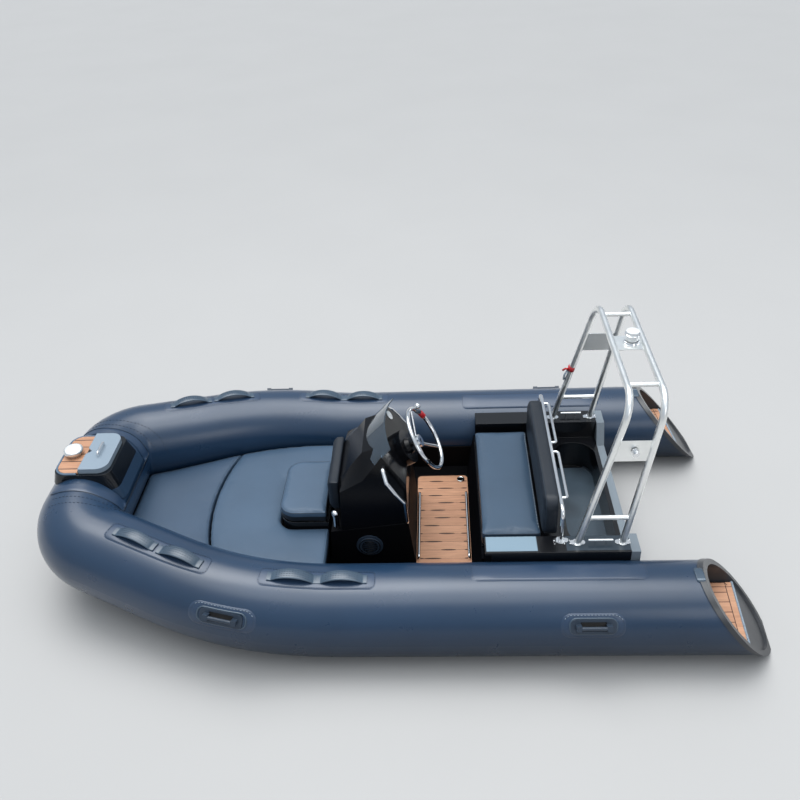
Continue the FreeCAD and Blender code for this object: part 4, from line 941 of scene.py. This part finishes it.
def strap_line(distance, roll, across, side):
    """A line along the top of a grab strap."""
    spot, heading, normal = on_tube(distance, roll, 0.0, side)
    sideways = normal.cross(heading).normalized()
    points = []
    for step in range(-12, 13):
        a = STRAP_ARCH * STRAP_SEAM_REACH * step / 12
        lift = strap_height(a, across, STRAP_WIDTH / 2) + STRAP_SEAM_LIFT
        points.append(spot + heading * a + normal * lift + sideways * across)
    return points


def strap_rows(distance, roll, side):
    """A fabric strap: two bonded ends and an arch between them, as closed rings."""
    spot, heading, normal = on_tube(distance, roll, 0.0, side)
    sideways = normal.cross(heading).normalized()
    rows = []
    for step in range(-30, 31):
        a = STRAP_HALF * step / 30
        half = STRAP_WIDTH / 2 * (STRAP_END_WIDTH + (1 - STRAP_END_WIDTH) * strap_share(a))
        ring = []
        for angle in (2 * math.pi * around / 16 for around in range(16)):
            across = half * squared(math.cos(angle))
            lift = strap_height(a, across, half) + STRAP_THICK * squared(math.sin(angle))
            ring.append(spot + heading * a + sideways * across + normal * lift)
        rows.append(ring)
    return rows


def make_straps():
    for side, word in SIDES:
        straps = Form()
        for distance, roll in GRAB_STRAPS:
            straps.grid(strap_rows(distance, roll, side), closed=True)
        piece = straps.build("fabric_straps_" + word, "strap_fabric")
        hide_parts("grab_handles_" + word)


# Sizes are length, width and corner; threads are dash, gap and radius
# distance, roll, length of the patch under two straps
GRAB_PATCHES = ((1.8115, 2.0, 0.60), (2.640, 3.0, 0.59))
GRAB_PATCH_WIDTH, GRAB_PATCH_CORNER, GRAB_SEAM_INSET, GRAB_SEAM_CORNER = 0.112, 0.030, 0.008, 0.024
LIFTING_HANDLES = ((0.502, 62.0), (2.226, 62.0))
LIFTING_PATCH, LIFTING_SEAM = (0.300, 0.122, 0.050), (0.280, 0.104, 0.044)
LIFTING_THREAD = (0.006, 0.006, 0.0008)
PALE_ARC_FROM, PALE_THREAD = -0.030, (0.008, 0.008, 0.0012)
# The second size is that of the flat dark sheet of painted shade in each handle's hollow.
HANDLE_RIM, HANDLE_SHADE_PATCH = (0.215, 0.074, 0.030), (0.138, 0.046, 0.020)
AFT_PATCH_AT, AFT_PATCH, AFT_SEAM = (0.64, -10), (0.84, 0.130, 0.030), (0.824, 0.114, 0.024)
AFT_THREAD = (0.012, 0.004, 0.0008)
STERN_TAB_AT, STERN_TAB = (-0.012, 0), (0.042, 0.085, 0.012)
TUBE_PIECES = (("tube_patches", "patch_fabric"), ("patch_stitches", "thread"),
               ("handle_patch_stitches", "pale_thread"), ("stern_straps", "strap_fabric"),
               # The handle hollows take the dark caulk material as painted shade.
               ("handle_rims", "strap_fabric"), ("handle_hollow_shade", "caulk"))


def add_grab_details(forms, side):
    for distance, roll, length in GRAB_PATCHES:
        patch = (length, GRAB_PATCH_WIDTH, GRAB_PATCH_CORNER)
        seam = (length - 2 * GRAB_SEAM_INSET, GRAB_PATCH_WIDTH - 2 * GRAB_SEAM_INSET, GRAB_SEAM_CORNER)
        tube_patch(forms["tube_patches"], distance, roll, patch, side)
        tube_seam(forms["patch_stitches"], distance, roll, seam, side, 0.0028)
    for distance, roll in GRAB_STRAPS:
        for across in STRAP_SEAMS:
            stitch(forms["patch_stitches"], strap_line(distance, roll, across, side), *STRAP_THREAD)


def add_lifting_details(forms, side):
    """A stitched patch, a rim, and a flat dark sheet of painted shade for the hollow round each bar handle."""
    for distance, roll in LIFTING_HANDLES:
        tube_patch(forms["tube_patches"], distance, roll, LIFTING_PATCH, side, 0.0016)
        tube_seam(forms["patch_stitches"], distance, roll, LIFTING_SEAM, side, 0.0018, *LIFTING_THREAD)
        upper = sorted(p for p in finer(rounded(*LIFTING_SEAM), 0.006) if p[1] < PALE_ARC_FROM)
        stitch(forms["handle_patch_stitches"], tube_line(upper, distance, roll, 0.0022, side), *PALE_THREAD)
        rim = tube_line(finer(rounded(*HANDLE_RIM), 0.006), distance, roll, 0.002, side)
        forms["handle_rims"].bar(rim, 0.0050, 8, closed=True)
        # A flat dark sheet in the caulk colour is painted shade for the handle's hollow.
        tube_patch(forms["handle_hollow_shade"], distance, roll, HANDLE_SHADE_PATCH, side, 0.0030)


def add_stern_details(forms, side):
    """The long patch beside the roll bar and the tab behind it, with its pale bead."""
    tube_patch(forms["tube_patches"], *AFT_PATCH_AT, AFT_PATCH, side, 0.0026)
    tube_seam(forms["patch_stitches"], *AFT_PATCH_AT, AFT_SEAM, side, 0.0030, *AFT_THREAD)
    tube_patch(forms["stern_straps"], *STERN_TAB_AT, STERN_TAB, side, 0.006)
    wide, tall = STERN_TAB[:2]
    bead = [(wide * 0.42 * (step / 6 - 1), tall * 0.36) for step in range(13)]
    forms["handle_patch_stitches"].bar(tube_line(bead, *STERN_TAB_AT, 0.0066, side), 0.003, 8)


def make_tube_details():
    forms = {name: Form() for name, material in TUBE_PIECES}
    for side in (1, -1):
        add_grab_details(forms, side)
        add_lifting_details(forms, side)
        add_stern_details(forms, side)
    for name, material in TUBE_PIECES:
        forms[name].build(name, material)


make_straps()
make_tube_details()

# Planking

SEAM_SEED = 7
DECK_SEAM, DECK_SEAM_THICK = 0.0012, 0.0003
DECK_END, LONG_STROKE, END_STROKE, STROKE_THICK = 0.002, 0.0095, 0.0085, 0.0006
DRAIN_RING_RADIUS = 0.021
BOARD = 0.0625
STERN_SEAM, STERN_SEAM_THICK, STERN_MARGIN = 0.0035, 0.0005, 0.030
STEP_SEAM, STEP_SEAM_THICK = 0.005, 0.0006
LIP_RADIUS = 0.0065


def lens(form, x0, x1, y, z, wide):
    """A short thick stroke of caulk with pointed ends."""
    half = Vector(((x1 - x0) / 2, 0, 0))
    form.slab(circle(((x0 + x1) / 2, y, z), 1, 20, half, ACROSS * wide / 2), STROKE_THICK)


def groove(form, start, end, wide, thick):
    """A straight seam of caulk."""
    side = UP.cross(end - start).normalized() * wide / 2
    form.slab([start - side, end - side, end + side, start + side], thick)


def plank_seam(form, x0, x1, y, z, wide, thick):
    groove(form, Vector((x0, y, z)), Vector((x1, y, z)), wide, thick)


def make_deck_seams():
    """A fine seam between planks, with thick strokes that differ from plank to plank."""
    rng = random.Random(SEAM_SEED)
    low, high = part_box("teak_deck")
    seams = Form()
    count = int(high.y / PLANK)
    for number in range(-count, count + 1):
        y = number * PLANK
        start = low.x + (0.10 if number % 2 else 0.15) + rng.uniform(-0.02, 0.03)
        plank_seam(seams, low.x + DECK_END, high.x - DECK_END, y, high.z, DECK_SEAM, DECK_SEAM_THICK)
        lens(seams, start, start + rng.uniform(0.085, 0.12), y, high.z, LONG_STROKE)
        lens(seams, low.x + 0.003, low.x + rng.uniform(0.03, 0.06), y, high.z, END_STROKE)
        if number % 3:
            lens(seams, high.x - rng.uniform(0.03, 0.05), high.x - DECK_END, y, high.z, END_STROKE)
    seams.build("deck_caulk", "stern_caulk", smooth=False)


def make_drain_ring():
    """A bright ring round the deck's fitting."""
    low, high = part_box("deck_fitting")
    ring = Form()
    centre = ((low.x + high.x) / 2, (low.y + high.y) / 2, high.z)
    ring.bar(circle(centre, DRAIN_RING_RADIUS, 24), 0.003, 8, closed=True)
    ring.build("deck_fitting_ring", "chrome")


def plank_span(outline, low, high, y):
    """The places along a plank's edge that are inside an outline."""
    places = [x / 1000 for x in range(int(low.x * 1000), int(high.x * 1000), 2)]
    return [x for x in places if inside(outline, x, y)]


def add_stern_seams(seams, node, side):
    """A margin round the slanted end of a stern pad, and the seams between its boards."""
    low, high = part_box(node)
    border = border_of(node, UP, 0.004)
    outline = [(p.x, p.y) for p in border]
    inner = ring_in(border, STERN_MARGIN, UP)
    kept = [p for p in inner if inside(outline, p.x, p.y) and p.x < high.x - 0.05]
    for one, two in zip(kept, kept[1:]):
        if (two - one).length < 0.03:
            groove(seams, one, two, STERN_SEAM, STERN_SEAM_THICK)
    for number in range(-5, 6):
        y = side * TUBE_SPREAD + number * BOARD
        run = plank_span(outline, low, high, y)
        if len(run) > 12:
            plank_seam(seams, min(run) + STERN_MARGIN, max(run) - 0.002, y, high.z,
                       STERN_SEAM, STERN_SEAM_THICK)


def add_stern_lip(lips, node):
    """A pale lip along the slanted end of a stern pad."""
    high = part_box(node)[1]
    rim = [p for p in ring_in(border_of(node, UP, 0.004), -0.006, UP) if p.x < high.x - 0.03]
    for one, two in zip(rim, rim[1:]):
        if (one - two).length < 0.02 and abs((two - one).normalized().x) < 0.6:
            lips.bar([one - UP * 0.002, two - UP * 0.002], LIP_RADIUS, 8)


def make_stern_planks():
    seams, lips = Form(), Form()
    for side, word in SIDES:
        add_stern_seams(seams, "stern_pad_" + word, side)
        add_stern_lip(lips, "stern_pad_" + word)
    seams.build("stern_caulk", "stern_caulk", smooth=False)
    lips.build("stern_pad_lips", "pale_moulding")


def widest_gap(points):
    """Where an open line that was cut from a ring begins."""
    return max(range(len(points)), key=lambda i: math.dist(points[i], points[i - 1]))


def make_step_planks():
    low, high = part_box("bow_step_pad")
    seams, lip = Form(), Form()
    border = border_of("bow_step_pad", UP, 0.004)
    outline = [(p.x, p.y) for p in border]
    for number in range(-2, 3):
        y = number * BOARD
        run = plank_span(outline, low, high, y)
        if len(run) > 5:
            plank_seam(seams, min(run), max(run), y, high.z, STEP_SEAM, STEP_SEAM_THICK)
    groove(seams, Vector((low.x + 0.001, low.y + 0.006, high.z)),
           Vector((low.x + 0.001, high.y - 0.006, high.z)), STEP_SEAM, STEP_SEAM_THICK)
    seams.build("step_caulk", "caulk", smooth=False)
    edge = [p - UP * 0.005 for p in ring_in(border, -0.007, UP) if p.x > low.x + 0.006]
    start = widest_gap(edge)
    lip.bar(edge[start:] + edge[:start], LIP_RADIUS, 8)
    lip.build("step_lip", "step_lip")


make_deck_seams()
make_drain_ring()
make_stern_planks()
make_step_planks()

# The bow step's surround

RING_X, RING_HALF, RING_CORNER, RING_FRONT_X = 1.62, 0.25, 0.16, 1.79
# growth of the ring's outline, lift over the tube
RING_BANDS = ((-0.030, 0.0030), (0.0, 0.0030), (0.022, 0.0030), (0.026, 0.0))
RING_EDGE_RADIUS = 0.0022
STITCH_RINGS, STITCH_FRONT_X, STITCH_FROM_Y = (0.060, 0.105), 1.76, 0.16
DROP_FROM = 1.2


def shapes_tree(names):
    vertices, faces = [], []
    for name in names:
        data = nodes[name].data
        base = len(vertices)
        vertices += [v.co.copy() for v in data.vertices]
        faces += [tuple(base + i for i in p.vertices) for p in data.polygons]
    return BVHTree.FromPolygons(vertices, faces)


TUBES = shapes_tree(("tube_port", "tube_starboard", "tube_bow"))


def draped(pairs, lift):
    """Points of the plan dropped onto the tubes."""
    points = []
    for x, y in pairs:
        spot, normal = TUBES.ray_cast(Vector((x, y, DROP_FROM)), -UP)[:2]
        if spot is not None:
            points.append(spot + normal * lift)
    return points


def step_ring(grow):
    """The plan of a ring round the step, grown from its outline."""
    outline = finer(rounded(2 * RING_HALF, 2 * RING_HALF, RING_CORNER), 0.010)
    share = 1 + grow / RING_HALF
    return [(RING_X + x * share, y * share) for x, y in outline]


def make_step_surround():
    """The bonded fabric ring round the step and the stitched seams under it."""
    bands, threads, dark = Form(), Form(), Form()
    rows = []
    for grow, lift in RING_BANDS:
        ring = [p for p in step_ring(grow) if p[0] < RING_FRONT_X]
        start = widest_gap(ring)
        rows.append(along(draped(ring[start:] + ring[:start], lift), 0.01))
    count = min(len(row) for row in rows)
    rows = [[row[round(i * (len(row) - 1) / (count - 1))] for i in range(count)] for row in rows]
    bands.grid(rows)
    bands.build("step_surround", "patch_fabric")
    dark.bar(rows[2], RING_EDGE_RADIUS, 6)
    dark.build("step_surround_edge", "piping")
    for grow in STITCH_RINGS:
        ring = [p for p in step_ring(grow) if p[0] < STITCH_FRONT_X and abs(p[1]) > STITCH_FROM_Y]
        for side in (1, -1):
            half = sorted((p for p in ring if p[1] * side > 0), key=lambda p: -p[0])
            stitch(threads, draped(half, 0.0012), 0.012, 0.009, 0.0011)
    threads.build("step_stitches", "thread")


make_step_surround()

# Small fittings

RIM_RADIUS, TAPE_RADIUS = 0.172, 0.0158
# name, material, first and last degree round the rim
WHEEL_TAPES = (("wheel_tape_red", "red_tape", 277, 290), ("wheel_tape_dark", "strap_fabric", 293, 304))
PLATE_KNOB_AT, KNOB_STEP = Vector((-1.181, 0.4905, 0.985)), 0.006
# radius and sides of each turn of a plate's knob
KNOB_TURNS = ((0.019, 6), (0.014, 6), (0.014, 20), (0.017, 20), (0.012, 20))
LEG_LOW, LEG_HIGH = Vector((-1.0400, -0.4967, 0.785)), Vector((-1.0447, -0.4953, 0.812))
RIBBON_RADIUS, LOOSE_END_RADIUS = 0.0205, 0.006
# the loose ends of the ribbon and of the strap on the leg, from its lower end
RIBBON_ENDS = ((0.018, 0.006, 0.012), (0.034, 0.010, 0.018), (0.048, 0.010, 0.006))
STRAP_ENDS = ((0.020, 0.004, 0.002), (0.034, 0.002, -0.030), (0.036, 0.000, -0.062))
FOOT_X, FOOT_Y, FOOT_TOP = (-0.868, -0.944, -1.19), 0.52, 0.4362
SCREW_DX, SCREW_DY, SCREW_RADIUS, SCREW_HEIGHT = 0.024, 0.012, 0.0038, 0.0016
BEAD_X, BEAD_HALF, BEAD_Z, BEAD_THREAD = -0.778, 0.40, 0.39, (0.012, 0.010, 0.0022)
# radius, lift
VENT_RINGS = ((0.056, 0.0008), (0.040, 0.0010))
SLAT_REACH, SLAT_STEP = 0.036, 0.014


def make_wheel_tape():
    """A turn of red tape and a dark one on the wheel's rim."""
    centre, axis = (Vector(joints["steering"][key]) for key in ("pos_m", "axis"))
    top = axis.cross(ACROSS).normalized()
    if top.z < 0:
        top.negate()
    for name, material, first, last in WHEEL_TAPES:
        angles = [math.radians(degrees) for degrees in range(first, last + 1, 2)]
        tape = Form()
        tape.bar([centre + (top * math.cos(a) + ACROSS * math.sin(a)) * RIM_RADIUS for a in angles],
                 TAPE_RADIUS, 16)
        tape.build(name, material, "wheel")


def make_arch_fittings():
    """Bright rings on the lamp and a knob on each side plate."""
    low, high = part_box("mast_light")
    middle = (low + high) / 2
    bright = Form()
    for radius, z in ((0.036, low.z + 0.004), (0.0335, low.z + 0.011), (0.034, high.z - 0.016)):
        bright.bar(circle((middle.x, middle.y, z), radius, 32), 0.004, 8, closed=True)
    for side in (1, -1):
        spot, out = PLATE_KNOB_AT * Vector((1, side, 1)), ACROSS * side * KNOB_STEP
        for step, (radius, sides) in enumerate(KNOB_TURNS):
            bright.bar([spot + out * step, spot + out * (step + 1)], radius, sides)
    bright.build("arch_fittings", "chrome", smooth=False)


def make_leg_ribbon():
    """A red ribbon tied round one leg of the roll bar, and a pale strap that hangs from it."""
    ribbon, strap = Form(), Form()
    ribbon.bar([LEG_LOW, LEG_HIGH], RIBBON_RADIUS, 16)
    ribbon.bar([LEG_LOW + Vector(end) for end in RIBBON_ENDS], LOOSE_END_RADIUS, 8)
    ribbon.build("leg_ribbon", "red_tape")
    strap.bar([LEG_LOW + Vector(end) for end in STRAP_ENDS], LOOSE_END_RADIUS, 8)
    strap.build("leg_strap", "pale_thread")


def make_foot_screws():
    screws = Form()
    for x in FOOT_X:
        for side in (1, -1):
            for dx in (-SCREW_DX, SCREW_DX):
                for dy in (-SCREW_DY, SCREW_DY):
                    spot = Vector((x + dx, side * FOOT_Y + dy, FOOT_TOP))
                    screws.bar([spot, spot + UP * SCREW_HEIGHT], SCREW_RADIUS, 10)
    screws.build("foot_screws", "chrome")


def make_bench_beading():
    """A stitched bead along the back of the bench pad."""
    line = [Vector((BEAD_X, BEAD_HALF * (n / 20 - 1), BEAD_Z)) for n in range(41)]
    bead = Form()
    stitch(bead, laid(pads["bench_pad"], line, UP, 0.001), *BEAD_THREAD)
    bead.build("bench_beading", "pale_thread", "bench_seat")


def make_vent_rings():
    """Two rings and five slats on each vent of the console."""
    rings, slats = Form(), Form()
    low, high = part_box("console_vents")
    x, z = (low.x + high.x) / 2, (low.z + high.z) / 2
    for side in (1, -1):
        for radius, lift in VENT_RINGS:
            centre = (x, side * (high.y + lift), z)
            rings.bar(circle(centre, radius, 40, FORWARD, UP), 0.0022, 6, closed=True)
        y = side * (high.y + 0.001)
        for row in range(-2, 3):
            rise = row * SLAT_STEP
            half = math.sqrt(SLAT_REACH ** 2 - rise ** 2)
            slats.bar([(x - half, y, z + rise), (x + half, y, z + rise)], 0.003, 6)
    rings.build("vent_rings", "console_gelcoat")
    slats.build("vent_slats", "console_gelcoat")


make_wheel_tape()
make_arch_fittings()
make_leg_ribbon()
make_foot_screws()
make_bench_beading()
make_vent_rings()

# Floor at the waterline

FLOOR_REACH = 60


def make_floor():
    """A wide pale plane at the waterline."""
    data = bpy.data.meshes.new("floor")
    corners = [(x * FLOOR_REACH, y * FLOOR_REACH, 0) for x, y in ((-1, -1), (1, -1), (1, 1), (-1, 1))]
    data.from_pydata(corners, [], [(0, 1, 2, 3)])
    data.materials.append(MATERIALS["floor"])
    floor = bpy.data.objects.new("floor", data)
    scene.collection.objects.link(floor)


make_floor()
